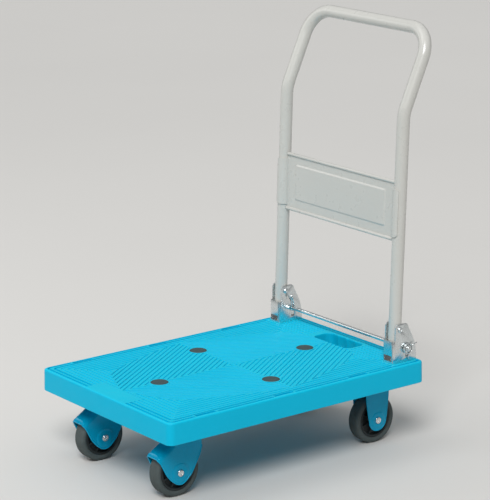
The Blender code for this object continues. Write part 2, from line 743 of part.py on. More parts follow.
def axle_place(name):
    """Where a wheel's axle is, and which side is outside."""
    sign = -1 if name.endswith("right") else 1
    x = SWIVEL_AXLE_X if name.startswith("swivel") else FIXED_AXLE_X
    return (x, sign * CASTER_HALF, WHEEL_RADIUS), sign


def build_wheel(name):
    """Tyre, core and bush, which turn together on the axle."""
    centre, _ = axle_place(name)
    half = TREAD / 2
    tyre = bmesh.new()
    seat = TYRE_SEAT + GAP
    profile = [(-half + 2, seat), (-half, 45), (-half + 2.5, 49), (-half + 7, WHEEL_RADIUS),
               (half - 7, WHEEL_RADIUS), (half - 2.5, 49), (half, 45), (half - 2, seat)]
    add_turned(tyre, "Y", centre, profile, WHEEL_SIDES, solid=False)
    make(f"tyre_{name}", "grey_tyre", tyre, origin=centre)
    core = bmesh.new()
    bore = BUSH_RADIUS + GAP
    side = [(17, bore), (17, 13), (6, 15.5), (6, 31), (13, TYRE_SEAT - 0.5)]
    profile = [(-a, r) for a, r in side] + [(a, r) for a, r in reversed(side)]
    add_turned(core, "Y", centre, profile, DISC_SIDES, solid=False)
    make(f"wheel_core_{name}", "dark_plastic", core, origin=centre)
    bush = bmesh.new()
    reach, inner = FORK_INNER - GAP, AXLE_RADIUS + GAP
    profile = [(-reach, inner), (-reach, BUSH_RADIUS), (reach, BUSH_RADIUS), (reach, inner)]
    add_turned(bush, "Y", centre, profile, BOLT_SIDES, solid=False)
    make(f"wheel_bush_{name}", "zinc", bush, origin=centre)


def build_axle(name):
    """The axle bolt, with its head outside, and the nut on the other side."""
    centre, sign = axle_place(name)
    leg = FORK_INNER + FORK_WALL
    bolt = bmesh.new()
    outside, end = sign * (leg + GAP), -sign * (leg + 9.0)
    profile = [(end, AXLE_RADIUS), (outside, AXLE_RADIUS), (outside, AXLE_HEAD),
               (sign * (leg + 2.6), AXLE_HEAD - 0.3), (sign * (leg + 3.4), AXLE_HEAD - 1.6)]
    add_turned(bolt, "Y", centre, profile, BOLT_SIDES)
    make(f"axle_{name}", "zinc", bolt, origin=centre)
    nut = bmesh.new()
    add_nut(nut, centre, AXLE_RADIUS + GAP, AXLE_NUT, -sign * (leg + GAP), -sign * (leg + 7.3))
    make(f"axle_nut_{name}", "zinc", nut, origin=centre)


def axle_hole(name):
    """The hole for the axle in both legs of a fork."""
    centre, _ = axle_place(name)
    bm = bmesh.new()
    reach = FORK_INNER + 3 * FORK_WALL
    add_cylinder(bm, "Y", centre, AXLE_RADIUS + GAP, -reach, reach)
    return bm


def add_plate(bm, x, centre_y):
    """A caster's mounting plate, with rounded corners."""
    outline = rounded_rectangle(*PLATE_SIZE, PLATE_CORNER, 2)
    top = PAD_BOTTOM - GAP
    add_outline(bm, [(x + px, centre_y + py) for px, py in outline], top - PLATE, top, "XY")


def add_bolt_holes(bm, x, centre_y):
    """Four fixing holes in a mounting plate."""
    for dx in (-BOLT_HOLES[0], BOLT_HOLES[0]):
        for dy in (-BOLT_HOLES[1], BOLT_HOLES[1]):
            place = (x + dx, centre_y + dy, 0)
            add_cylinder(bm, "Z", place, BOLT_HOLE_RADIUS, PAD_BOTTOM - 2 * PLATE, PAD_BOTTOM + PLATE, 8)


def build_swivel_caster(side):
    """Mounting plate, race, kingpin, fork, axle and wheel of a caster that steers."""
    name = f"swivel_{side}"
    (axle_x, centre_y, _), _ = axle_place(name)
    pin_x = axle_x + SWIVEL_OFFSET
    pin = (pin_x, centre_y, 0)
    hole = AXLE_RADIUS + GAP
    plate, holes = bmesh.new(), bmesh.new()
    add_plate(plate, pin_x, centre_y)
    add_bolt_holes(holes, pin_x, centre_y)
    add_cylinder(holes, "Z", pin, hole, PAD_BOTTOM - 2 * PLATE, PAD_BOTTOM + PLATE)
    make(f"mount_plate_{side}", "blue_paint", plate, cut=holes)
    race = bmesh.new()
    low, high = CROWN_TOP + GAP, PAD_BOTTOM - GAP - PLATE - GAP
    profile = [(low, hole), (low, RACE_RADIUS - 2), (low + 3, RACE_RADIUS), (high - 3, RACE_RADIUS),
               (high, RACE_RADIUS - 2), (high, hole)]
    add_turned(race, "Z", pin, profile, DISC_SIDES, solid=False)
    make(f"swivel_race_{side}", "zinc", race)
    kingpin = bmesh.new()
    under_crown = CROWN_TOP - FORK_WALL - GAP
    profile = [(under_crown - 5, KINGPIN_HEAD - 1), (under_crown, KINGPIN_HEAD), (under_crown, AXLE_RADIUS),
               (PAD_BOTTOM, AXLE_RADIUS), (PAD_BOTTOM, KINGPIN_HEAD), (PAD_BOTTOM + 5, KINGPIN_HEAD - 1.5)]
    add_turned(kingpin, "Z", pin, profile, BOLT_SIDES)
    make(f"kingpin_{side}", "zinc", kingpin)
    fork = fork_body(axle_x, centre_y, swivel_stations(), 9.0)
    cut = axle_hole(name)
    add_cylinder(cut, "Z", pin, hole, CROWN_TOP - 4 * FORK_WALL, CROWN_TOP + 2 * FORK_WALL)
    make(f"fork_{name}", "blue_paint", fork, cut=cut, origin=(pin_x, centre_y, WHEEL_RADIUS))
    build_axle(name)
    build_wheel(name)


def build_fixed_caster(side):
    """Fork with its mounting plate, axle and wheel of a caster that only rolls."""
    name = f"fixed_{side}"
    (axle_x, centre_y, _), _ = axle_place(name)
    fork = fork_body(axle_x, centre_y, fixed_stations(), 5.0)
    plate, cut = bmesh.new(), axle_hole(name)
    add_plate(plate, axle_x, centre_y)
    add_bolt_holes(cut, axle_x, centre_y)
    make(f"fork_{name}", "blue_paint", fork, cut=cut, join=plate, origin=(axle_x, centre_y, WHEEL_RADIUS))
    build_axle(name)
    build_wheel(name)


def main():
    clear_scene()
    build_deck()
    build_inserts()
    build_handle()
    build_tube_plugs()
    build_panel()
    build_brackets()
    build_pivots()
    build_bracket_screws()
    build_lock()
    for side in ("right", "left"):
        build_swivel_caster(side)
        build_fixed_caster(side)


main()
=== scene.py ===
"""Looks of the folding platform cart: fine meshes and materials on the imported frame, in a plain studio.

Sizes are millimetres about the deck's centre, with +X towards the handle, +Y to the left and +Z up.
Places come from the frame's nodes.
"""
import math

import bmesh
import bpy
from mathutils import Matrix, Vector


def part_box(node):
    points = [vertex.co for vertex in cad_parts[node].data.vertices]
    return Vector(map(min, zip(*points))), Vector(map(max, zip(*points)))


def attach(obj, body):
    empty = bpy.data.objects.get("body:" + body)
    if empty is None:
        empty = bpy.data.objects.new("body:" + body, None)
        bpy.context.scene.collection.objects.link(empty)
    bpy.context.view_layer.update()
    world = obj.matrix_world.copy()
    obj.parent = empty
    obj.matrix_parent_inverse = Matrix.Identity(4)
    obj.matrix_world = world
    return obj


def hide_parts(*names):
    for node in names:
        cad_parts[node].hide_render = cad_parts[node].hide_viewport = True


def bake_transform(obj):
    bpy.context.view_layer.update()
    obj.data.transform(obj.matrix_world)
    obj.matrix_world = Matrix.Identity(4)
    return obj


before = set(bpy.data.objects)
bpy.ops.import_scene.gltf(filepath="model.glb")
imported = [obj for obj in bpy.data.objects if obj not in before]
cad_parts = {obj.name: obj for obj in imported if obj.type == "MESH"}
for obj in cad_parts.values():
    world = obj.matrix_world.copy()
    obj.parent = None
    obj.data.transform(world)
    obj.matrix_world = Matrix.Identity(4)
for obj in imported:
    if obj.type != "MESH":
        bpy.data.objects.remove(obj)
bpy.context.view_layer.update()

MM = 0.001
SHIFT = sum(corner.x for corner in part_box("deck")) / 2
SIDES = (("right", -1), ("left", 1))
WHEELS = ("swivel_right", "swivel_left", "fixed_right", "fixed_left")


def span(node):
    """A node's lowest and highest corner."""
    return [(corner - Vector((SHIFT, 0, 0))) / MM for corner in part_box(node)]


def middle(node):
    """The centre of a node's box."""
    low, high = span(node)
    return (low + high) / 2


# Deck, the same sizes as the solid
DECK_LOW, DECK_HIGH = span("deck")
DECK_TOP = DECK_HIGH.z
SKIRT_BOTTOM = DECK_LOW.z
DECK_CORNER = 15.0
DECK_DRAFT = 0.8
DECK_EDGE = 4.0
SKIRT_WALL = 4.0
TOP_WALL = 4.5
RIB_BOTTOM = 165.0
RIB_PITCH = (50.0, 35.0)
FINE_RIB_BOTTOM = 170.0
PAD_BOTTOM = 142.0
PAD_SIZE = (108.0, 84.0)
INSERT_RADIUS = 17.5
INSERT_STEM = 8.0
HAND_HOLE = (267.5, 114.0, 46.0)       # centre, length across the cart and width
HAND_HOLE_SIDE = -5.0                  # how far its middle is left of the cart's
HAND_HOLE_CORNER = 13.0
FINGER_PITCH = 28.0                    # scallops along the hand hole's rear edge
FINGER_DEPTH = 2.0
SLOT_XS = (-225.0, -38.0, 149.0)       # recesses along each long edge
SLOT_Y = 209.0
SLOT_SIZE = (47.0, 7.5, 4.2)
SCREW_BORE = 3.3

# Tread on the deck: grooves in concentric rhombi, inside a border of rectangular grooves
GROOVE_PITCH = 9.7
GROOVE_WIDTH = 4.6
GROOVE_DEPTH = 1.7
TREAD_SLOPE = math.radians(34)
TREAD_FIELD = ((0, 0), (275, 0), (228, 107), (165, 140), (50, 178), (0, 185))
FIELD_REAR = 246.0                     # the field ends here, ahead of the hand hole
BORDER_INSET = 8.8
BORDER_RINGS = 10
WIDE_RINGS = 2                         # the outer grooves are wider and deeper
WIDE_RING = (2.5, 3.6)                 # half width and depth
FINE_RING = (GROOVE_WIDTH / 2 - 0.2, 1.4)
BORDER_GAPS = ((DECK_LOW.x, -67, -269, 65), (240, -68, 298, 68))  # at the front's middle and the hand hole
SLOT_ROOM = (27, 5.5)                  # half the smooth room round each recess

# Handle
PIVOT = middle("pivot_bolt_left")
PIVOT_BORE = 4.3
HANDLE_HALF = middle("hinge_bracket_left").y
TUBE_RADIUS = 13.0
TUBE_WALL = 1.6
LEAN = math.radians(2.2)
KINK = math.radians(24.4)
STUB = 35.0
KINK_UP = 436.5
LOOP_UP = 173.5
KINK_RADIUS = 80.0
LOOP_RADIUS = 57.0
PANEL_LOW = 432.0
PANEL_HIGH = 548.0
PANEL_THICK = 1.5
PANEL_FRONT = 3.0
PANEL_HALF = 170.7
FIELD_HALF = 144.5
FIELD_Z = (452.5, 530.0)
FIELD_RISE = 1.7
SADDLE_Z = (440.0, 538.0)              # flanges that wrap the tubes
BEAD_RADIUS = 3.5

# Hinge brackets and lock
SHEET = 2.3
BRACKET_INNER = 13.7
BRACKET_FRONT = 247.7
BRACKET_REAR = 310.0
FRONT_WALL_TOP = 228.0
WINDOW_SIZE = (23, 11.5)
WINDOW_UP = 192.2
SPRING_SLOT = ((268.3, 241.5), (283.5, 213.0), 3.4)  # its two ends and half width
LOCK = middle("lock_bar")
LOCK_RADIUS = 4.0
LOCK_TRAVEL = 14.0
WIRE = 1.1
COIL_RADIUS = 10.2
COIL_TURNS = 3.25
HAIRPIN_TOP = (280.7, 238.9)           # where a hairpin wire hooks into the inner plate

# Casters
WHEEL_RADIUS = 50.0
FORK_INNER = 19.5
FORK_WALL = 2.5
FIXED_SHOULDER = 5.0
CROWN_TOP = 129.0
KINGPIN_BORE = 5.3
SWIVEL_LIP = 1.8
FIXED_LIP = 1.35
AXLE_RADIUS = 5.0
BUSH_RADIUS = 7.0
TYRE_SEAT = 38.0
FOOT_RADIUS = 21.5
PLATE_SIZE = (98.0, 74.0)
BOLT_HOLES = (38.0, 27.0)
GAP = 0.3
PLATE_UNDER = PAD_BOTTOM - GAP - 3.0

# Studio
SKY = 0.93
KEY_FROM = (-0.72, -0.69, 1.0)
KEY_ANGLE = 24.0
KEY_POWER = 2.25
SOFT_BOXES = (("overhead", (-0.9, 0.5, 2.6), 9), ("left", (-1.4, 2.2, 1.5), 7))
SOFT_BOX_TARGET = Vector((0.0, 0.0, 0.4))
CAMERA_AT = (-2.63502, -3.49432, 1.57724)  # metres
CAMERA_TURN = (-37.33, 14.82, -0.34)   # azimuth, elevation and roll in degrees
CAMERA_LENS = 164.47


# ---------------------------------------------------------------- mesh helpers

def add_loops(bm, loops, closed=False, strips=0):
    """Skin a row of equal point loops, which closes on itself or has its ends capped.

    With strips, each loop runs that many points along a front and as many back along a rear, and the caps
    are strips between the two.
    """
    rings = [[bm.verts.new(Vector(p)) for p in loop] for loop in loops]
    count = len(rings[0])
    pairs = list(zip(rings, rings[1:]))
    if closed:
        pairs.append((rings[-1], rings[0]))
    for low, high in pairs:
        for i in range(count):
            j = (i + 1) % count
            bm.faces.new((low[i], low[j], high[j], high[i]))
    if strips:
        for ring in (rings[0], rings[-1]):
            for i in range(strips - 1):
                bm.faces.new((ring[i], ring[i + 1], ring[count - 2 - i], ring[count - 1 - i]))
    elif not closed:
        bm.faces.new(list(reversed(rings[0])))
        bm.faces.new(rings[-1])


def add_box(bm, low, high):
    """An axis-aligned block between two corners."""
    (x0, y0, z0), (x1, y1, z1) = low, high
    add_loops(bm, [[(x0, y0, z), (x1, y0, z), (x1, y1, z), (x0, y1, z)] for z in (z0, z1)])


def ring_point(axis, centre, radius, along, angle):
    """A point at an angle round the Y or Z axis through a centre."""
    u, v = radius * math.cos(angle), radius * math.sin(angle)
    return Vector(centre) + Vector((v, along, u) if axis == "Y" else (u, v, along))


def add_turned(bm, axis, centre, profile, sides=32, solid=True):
    """Turn a profile of (along, radius) points; a solid one is capped, a ring closes on itself."""
    turns = [2 * math.pi * i / sides for i in range(sides)]
    loops = [[ring_point(axis, centre, radius, along, turn) for turn in turns] for along, radius in profile]
    add_loops(bm, loops, closed=not solid)


def mirrored(points):
    """Points of a profile from one end to the middle, followed by their mirror image."""
    return points + [(-along, radius) for along, radius in reversed(points)]


def add_outline(bm, outline, low, high, plane="XZ"):
    """Extrude a closed outline: an XZ outline runs along Y, and an XY outline runs along Z."""
    if plane == "XZ":
        loops = [[(x, y, z) for x, z in outline] for y in (low, high)]
    else:
        loops = [[(x, y, z) for x, y in outline] for z in (low, high)]
    add_loops(bm, loops)


def circle(centre, side, third, radius, sides):
    """Points of a circle in the plane of two unit vectors."""
    points = []
    for k in range(sides):
        turn = 2 * math.pi * k / sides
        points.append(centre + (side * math.cos(turn) + third * math.sin(turn)) * radius)
    return points


def tube_rings(path, radius, sides, start=Vector((0, 1, 0))):
    """Rings of points round a path, each square to it, with no twist."""
    rings = []
    side = None
    for i, point in enumerate(path):
        ahead = path[min(i + 1, len(path) - 1)] - point
        behind = point - path[max(i - 1, 0)]
        along = (ahead.normalized() + behind.normalized()).normalized()
        if side is None:
            side = start.cross(along).normalized()
        side = (side - along * side.dot(along)).normalized()
        rings.append(circle(point, side, along.cross(side), radius, sides))
    return rings


def add_wire(bm, path, radius, sides, start):
    """A round wire along a path, with slightly rounded ends."""
    points = [Vector(p) for p in path]
    rings = tube_rings(points, radius, sides, start)
    for ring, centre, beyond in ((rings[0], points[0], points[1]), (rings[-1], points[-1], points[-2])):
        out = (centre - beyond).normalized() * radius * 0.4
        tip = [centre + (p - centre) * 0.6 + out for p in ring]
        if ring is rings[0]:
            rings.insert(0, tip)
        else:
            rings.append(tip)
    add_loops(bm, rings)


def rounded_rectangle(length, width, radius, steps, centre=(0, 0)):
    """Points of a rectangle with round corners."""
    points = []
    for corner in range(4):
        cx = (length / 2 - radius) * (1 if corner in (0, 3) else -1)
        cy = (width / 2 - radius) * (1 if corner in (0, 1) else -1)
        for i in range(steps + 1):
            turn = math.pi / 2 * corner + math.pi / 2 * i / steps
            x, y = cx + radius * math.cos(turn), cy + radius * math.sin(turn)
            points.append((centre[0] + x, centre[1] + y))
    return points


def arc(centre, radius, start, end, steps):
    """Points on an arc, angles in degrees."""
    points = []
    for i in range(steps + 1):
        turn = math.radians(start + (end - start) * i / steps)
        points.append((centre[0] + radius * math.cos(turn), centre[1] + radius * math.sin(turn)))
    return points


def curve_at(x, points):
    """The height at x of a smooth line through (x, height) points."""
    last = len(points) - 1
    i = max(0, min(last - 1, sum(1 for p in points if p[0] <= x) - 1))
    (x0, v0), (x1, v1) = points[i], points[i + 1]
    before, after = points[max(i - 1, 0)], points[min(i + 2, last)]
    rise0 = (v1 - before[1]) / (x1 - before[0])
    rise1 = (after[1] - v0) / (after[0] - x0)
    t, run = (x - x0) / (x1 - x0), x1 - x0
    return ((2 * t ** 3 - 3 * t ** 2 + 1) * v0 + (t ** 3 - 2 * t ** 2 + t) * run * rise0
            + (3 * t ** 2 - 2 * t ** 3) * v1 + (t ** 3 - t ** 2) * run * rise1)


def clip(polygon, point, normal):
    """The part of a convex polygon that lies on the normal's side of a line."""
    kept = []
    for i, here in enumerate(polygon):
        past = polygon[(i + 1) % len(polygon)]
        a = (here[0] - point[0]) * normal[0] + (here[1] - point[1]) * normal[1]
        b = (past[0] - point[0]) * normal[0] + (past[1] - point[1]) * normal[1]
        if a >= 0:
            kept.append(here)
        if a * b < 0:
            t = a / (a - b)
            kept.append((here[0] + (past[0] - here[0]) * t, here[1] + (past[1] - here[1]) * t))
    return kept


def inset(polygon, margin):
    """A convex polygon, drawn anticlockwise, with each edge moved in."""
    made = polygon
    for i, here in enumerate(polygon):
        past = polygon[(i + 1) % len(polygon)]
        length = math.hypot(past[0] - here[0], past[1] - here[1])
        normal = (-(past[1] - here[1]) / length, (past[0] - here[0]) / length)
        made = clip(made, (here[0] + normal[0] * margin, here[1] + normal[1] * margin), normal)
    return made


def new_object(name, bm):
    """Turn a bmesh into an object of the scene."""
    mesh = bpy.data.meshes.new(name)
    bm.to_mesh(mesh)
    bm.free()
    made = bpy.data.objects.new(name, mesh)
    bpy.context.scene.collection.objects.link(made)
    return made


def drawn(name, draw, *values):
    """A piece from one drawing function, moved from millimetres about the deck's centre to the row frame."""
    bm = bmesh.new()
    draw(bm, *values)
    bmesh.ops.recalc_face_normals(bm, faces=bm.faces)
    for vert in bm.verts:
        vert.co = vert.co * MM + Vector((SHIFT, 0, 0))
    return new_object(name, bm)


def apply_modifier(target, kind, **settings):
    """Put a modifier with some settings on a piece, and turn the result into plain mesh."""
    step = target.modifiers.new(kind, kind)
    for setting, value in settings.items():
        setattr(step, setting, value)
    graph = bpy.context.evaluated_depsgraph_get()
    mesh = bpy.data.meshes.new_from_object(target.evaluated_get(graph))
    target.modifiers.clear()
    target.data = mesh


def combine(target, helper, operation):
    """Join or cut a piece with a closed helper object, which is then removed."""
    apply_modifier(target, "BOOLEAN", operation=operation, object=helper, solver="MANIFOLD")
    bpy.data.objects.remove(helper)


def join(target, draw, *values):
    """Join what a drawing function adds."""
    combine(target, drawn("helper", draw, *values), "UNION")


def cut(target, draw, *values):
    """Cut away what a drawing function adds."""
    combine(target, drawn("helper", draw, *values), "DIFFERENCE")


def drill(target, axis, centre, low, high, radius, sides=24):
    """Cut a round hole; along Z, low and high are heights above the floor."""
    if axis == "Z":
        centre = (centre[0], centre[1], 0)
    cut(target, add_turned, axis, centre, [(low, radius), (high, radius)], sides)


def turned(name, centre, profile, sides, solid=True):
    """A piece turned round the Y axis."""
    return drawn(name, add_turned, "Y", centre, profile, sides, solid)


def place(piece, body, slot, *nodes, soften=0.0, smooth=35):
    """Shade a piece, give it its finish and its body, and let it stand for its nodes."""
    if soften:
        apply_modifier(piece, "BEVEL", width=soften * MM, segments=2, limit_method="ANGLE",
                       angle_limit=math.radians(40), use_clamp_overlap=True)
    piece.data.shade_smooth()
    piece.data.set_sharp_from_angle(angle=math.radians(smooth))
    piece.data.materials.clear()
    piece.data.materials.append(FINISH[slot])
    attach(piece, body)
    if nodes:
        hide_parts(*nodes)


# ---------------------------------------------------------------- materials

def add_node(tree, kind, inputs, **settings):
    """A new shader node; what its inputs are given is linked if it is a socket, and set if it is a value."""
    node = tree.nodes.new(f"ShaderNode{kind}")
    for name, value in settings.items():
        setattr(node, name, value)
    for name, value in inputs.items():
        if isinstance(value, bpy.types.NodeSocket):
            tree.links.new(value, node.inputs[name])
        else:
            node.inputs[name].default_value = value
    return node


class Finish:
    """A node material: a Principled shader with small helpers for procedural detail."""

    def __init__(self, name, color, roughness, sockets):
        self.made = bpy.data.materials.new(name)
        self.made.use_nodes = True
        self.made.diffuse_color = (*color, 1.0)
        self.tree = self.made.node_tree
        self.shader = self.tree.nodes["Principled BSDF"]
        for socket, value in {"Base Color": (*color, 1.0), "Roughness": roughness, **sockets}.items():
            self.shader.inputs[socket].default_value = value
        self.color = color
        self.where = self.node("TexCoord", {}).outputs["Object"]

    def node(self, kind, inputs, **settings):
        """A new node of this material."""
        return add_node(self.tree, kind, inputs, **settings)

    def so_far(self, name):
        """What feeds one of the shader's sockets, or its value."""
        socket = self.shader.inputs[name]
        return socket.links[0].from_socket if socket.is_linked else socket.default_value[:]

    def noise(self, scale, detail, stretch=None, rough=0.55):
        """Noise over the piece's own coordinates; stretch shortens its grain along each axis."""
        where = self.where
        if stretch:
            where = self.node("Mapping", {"Vector": where, "Scale": stretch}).outputs["Vector"]
        inputs = {"Vector": where, "Scale": scale, "Detail": detail, "Roughness": rough}
        return self.node("TexNoise", inputs).outputs["Fac"]

    def cells(self, scale):
        """Soft-edged cells, as on plated sheet or grained rubber."""
        inputs = {"Vector": self.where, "Scale": scale}
        return self.node("TexVoronoi", inputs, feature="SMOOTH_F1").outputs["Distance"]

    def facing_up(self):
        """1 on faces that look up, 0 on the rest."""
        normal = self.node("NewGeometry", {}).outputs["Normal"]
        return self.span(self.node("SeparateXYZ", {"Vector": normal}).outputs["Z"], 0.0, 1.0, 0.6, 0.95)

    def span(self, source, low, high, start=0.3, end=0.7):
        """Map a value from start..end to low..high, held at the ends."""
        inputs = {"Value": source, "From Min": start, "From Max": end, "To Min": low, "To Max": high}
        return self.node("MapRange", inputs).outputs["Result"]

    def tint(self, source, other, amount, start=0.3, end=0.7):
        """Blend the colour so far towards another one where a value is high."""
        factor = self.span(source, 0.0, amount, start, end)
        inputs = {"A": self.so_far("Base Color"), "B": (*other, 1.0), "Factor": factor}
        mix = self.node("Mix", inputs, data_type="RGBA")
        self.tree.links.new(mix.outputs["Result"], self.shader.inputs["Base Color"])

    def mottle(self, scale, detail, factor, amount, start=0.3, end=0.7):
        """Make the colour lighter or darker by a factor, in clouds."""
        self.tint(self.noise(scale, detail), shade(self.color, factor), amount, start, end)

    def rough(self, scale, detail, low, high):
        """Vary the roughness, in clouds."""
        self.tree.links.new(self.span(self.noise(scale, detail), low, high), self.shader.inputs["Roughness"])

    def bump(self, source, strength, depth):
        """Add a bump of a depth in millimetres on top of any earlier one."""
        inputs = {"Height": source, "Strength": strength, "Distance": depth * MM,
                  "Normal": self.so_far("Normal")}
        self.tree.links.new(self.node("Bump", inputs).outputs["Normal"], self.shader.inputs["Normal"])


def shade(color, factor):
    """A colour made lighter or darker."""
    return tuple(min(1.0, c * factor) for c in color)


def deck_resin():
    """Satin moulded resin: fine grain, slow mottling, faint scuffs on top, and a painted lighter tone on
    faces that look up, standing in for light from above.
    """
    made = Finish("deck_resin", (0.001, 0.465, 0.70), 0.45, {"Specular IOR Level": 0.13})
    # Painted light: faces that look up get a lighter, brighter blue, so the top reads lit and the sides read
    # shaded.
    made.tint(made.facing_up(), (0.006, 0.545, 0.74), 1.0, 0.0, 1.0)
    made.mottle(7, 3, 0.95, 0.35)
    made.mottle(90, 4, 1.10, 0.20, 0.5, 0.8)
    streaks = made.noise(26, 6, (1.0, 9.0, 1.0), 0.7)
    scuffs = made.node("Math", {0: made.facing_up(), 1: streaks}, operation="MULTIPLY")
    made.tint(scuffs.outputs["Value"], (0.12, 0.62, 0.80), 0.25, 0.60, 0.80)
    made.rough(40, 4, 0.38, 0.52)
    made.bump(made.noise(1500, 2), 0.30, 0.05)
    made.bump(made.noise(160, 2), 0.20, 0.06)
    return made.made


def insert_rubber():
    """Matt dark rubber with a pebbled surface and a little dust."""
    made = Finish("insert_rubber", (0.050, 0.082, 0.088), 0.8, {"Specular IOR Level": 0.3})
    made.mottle(60, 5, 1.35, 0.6)
    made.mottle(300, 3, 0.65, 0.5)
    made.rough(120, 3, 0.70, 0.90)
    made.bump(made.cells(900), 0.5, 0.12)
    return made.made


def handle_paint():
    """Light grey glossy powder paint with a fine orange peel."""
    coat = {"Coat Weight": 0.4, "Coat Roughness": 0.10}
    made = Finish("handle_paint", (0.553, 0.553, 0.522), 0.28, coat)
    made.mottle(9, 3, 0.97, 0.6)
    made.mottle(420, 2, 1.03, 0.4)
    made.rough(60, 3, 0.26, 0.34)
    made.bump(made.noise(750, 1), 0.06, 0.02)
    return made.made


def plated(name, color, low, high, spangle):
    """Bright plating on rolled sheet or turned steel: faint cloudy cells and fine drawn lines."""
    made = Finish(name, color, low, {"Metallic": 1.0})
    made.tint(made.cells(spangle), shade(color, 0.86), 0.35, 0.1, 0.7)
    made.mottle(35, 4, 0.80, 0.35, 0.5, 0.75)
    made.rough(220, 4, low, high)
    made.bump(made.noise(500, 3, (1.0, 1.0, 7.0)), 0.01, 0.004)
    made.bump(made.noise(30, 1), 0.02, 0.02)
    return made.made


def caster_paint():
    """Glossy blue paint over pressed steel."""
    gloss = {"Specular IOR Level": 0.45, "Specular Tint": (0.15, 0.75, 1.0, 1.0),
             "Coat Weight": 0.12, "Coat Roughness": 0.05}
    made = Finish("caster_paint", (0.0, 0.33, 0.55), 0.12, gloss)
    made.mottle(18, 3, 0.85, 0.8)
    made.mottle(260, 3, 1.12, 0.5)
    made.rough(80, 3, 0.10, 0.16)
    made.bump(made.noise(600, 1), 0.10, 0.03)
    made.bump(made.noise(55, 2), 0.10, 0.10)
    return made.made


def tyre_rubber():
    """Matt grey tyre rubber, dusty in places, with a fine grain."""
    made = Finish("tyre_rubber", (0.062, 0.078, 0.078), 0.72, {"Specular IOR Level": 0.3})
    made.mottle(30, 5, 1.35, 0.7)
    made.mottle(160, 4, 0.75, 0.5, 0.5, 0.8)
    made.rough(50, 4, 0.62, 0.82)
    made.bump(made.noise(1100, 3), 0.45, 0.08)
    made.bump(made.noise(90, 2), 0.20, 0.12)
    return made.made


def black_plastic():
    """Dark moulded nylon."""
    made = Finish("black_plastic", (0.014, 0.019, 0.020), 0.5, {"Specular IOR Level": 0.35})
    made.mottle(45, 4, 1.6, 0.7)
    made.rough(90, 3, 0.42, 0.60)
    made.bump(made.noise(1300, 2), 0.4, 0.06)
    return made.made


FINISH = {
    "deck_resin": deck_resin(),
    "insert_rubber": insert_rubber(),
    "handle_paint": handle_paint(),
    "zinc_plate": plated("zinc_plate", (0.74, 0.78, 0.79), 0.24, 0.34, 260),
    "bright_steel": plated("bright_steel", (0.80, 0.82, 0.82), 0.18, 0.28, 500),
    "caster_paint": caster_paint(),
    "tyre_rubber": tyre_rubber(),
    "black_plastic": black_plastic(),
}


# ---------------------------------------------------------------- deck

def deck_loop(margin, corner, z, steps=8):
    """A loop at a height, parallel to the deck's edge and a margin inside it."""
    length = DECK_HIGH.x - DECK_LOW.x - 2 * margin
    width = DECK_HIGH.y - DECK_LOW.y - 2 * margin
    return [(x, y, z) for x, y in rounded_rectangle(length, width, corner, steps)]


def deck_skin(bm):
    """The deck's outer skin and its open underside, as one skinned row of loops."""
    steps = 6
    inner_top = DECK_TOP - TOP_WALL
    levels = []
    for i in range(steps + 1):
        turn = math.pi / 2 * (1 - i / steps)
        drop, margin = DECK_EDGE * (1 - math.sin(turn)), DECK_EDGE * (1 - math.cos(turn))
        levels.append((DECK_TOP - drop, DECK_DRAFT + margin))
    levels += [(SKIRT_BOTTOM + 0.8, 0.0), (SKIRT_BOTTOM, 0.7), (SKIRT_BOTTOM, SKIRT_WALL - 0.7),
               (SKIRT_BOTTOM + 0.8, SKIRT_WALL), (inner_top - 2, SKIRT_WALL + DECK_DRAFT),
               (inner_top, SKIRT_WALL + DECK_DRAFT + 2)]
    add_loops(bm, [deck_loop(margin, max(DECK_CORNER - margin, 3.0), z) for z, margin in levels])


def insert_places():
    """The points on the floor under the four grip inserts."""
    centres = (middle(f"grip_insert_{name}") for name in ("front", "rear", "left", "right"))
    return [(centre.x, centre.y, 0) for centre in centres]


def add_ribs(deck):
    """The underside: main ribs as on the solid, low ribs between them, pads and bosses.

    Each rib reaches a little less far into the top than the last, so that no two faces fall together.
    """
    into = DECK_TOP - TOP_WALL + 2.0
    reach_x, reach_y = DECK_HIGH.x - SKIRT_WALL + 1.5, DECK_HIGH.y - SKIRT_WALL + 1.5
    for step in range(-5, 6):
        y = step * RIB_PITCH[1]
        half, low = (2.0, RIB_BOTTOM) if step in (-2, 2) else (1.1, FINE_RIB_BOTTOM)
        join(deck, add_box, (-reach_x, y - half, low), (reach_x, y + half, into - 0.02 * step))
    for step in range(-5, 6):
        x = step * RIB_PITCH[0]
        half, low = (2.0, RIB_BOTTOM + 1) if step in (-3, -1, 1, 3) else (1.1, FINE_RIB_BOTTOM + 1)
        join(deck, add_box, (x - half, -reach_y, low), (x + half, reach_y, into - 0.5 - 0.02 * step))
    for side, _ in SIDES:
        for node in (f"kingpin_{side}", f"tyre_fixed_{side}"):
            pad = rounded_rectangle(*PAD_SIZE, 4, 3, middle(node))
            join(deck, add_outline, pad, PAD_BOTTOM, into - 1, "XY")
    for _, sign in SIDES:
        y = sign * HANDLE_HALF
        join(deck, add_box, (240, y - 18, 160), (308, y + 18, into - 1.3))
    wall = [(x, y) for x, y, _ in hand_hole_loop(6.0, 0.0)]
    join(deck, add_outline, wall, 150, into - 1.5, "XY")
    boss = [(172, INSERT_RADIUS + 5), (into - 1.7, INSERT_RADIUS + 5)]
    for centre in insert_places():
        join(deck, add_turned, "Z", centre, boss)


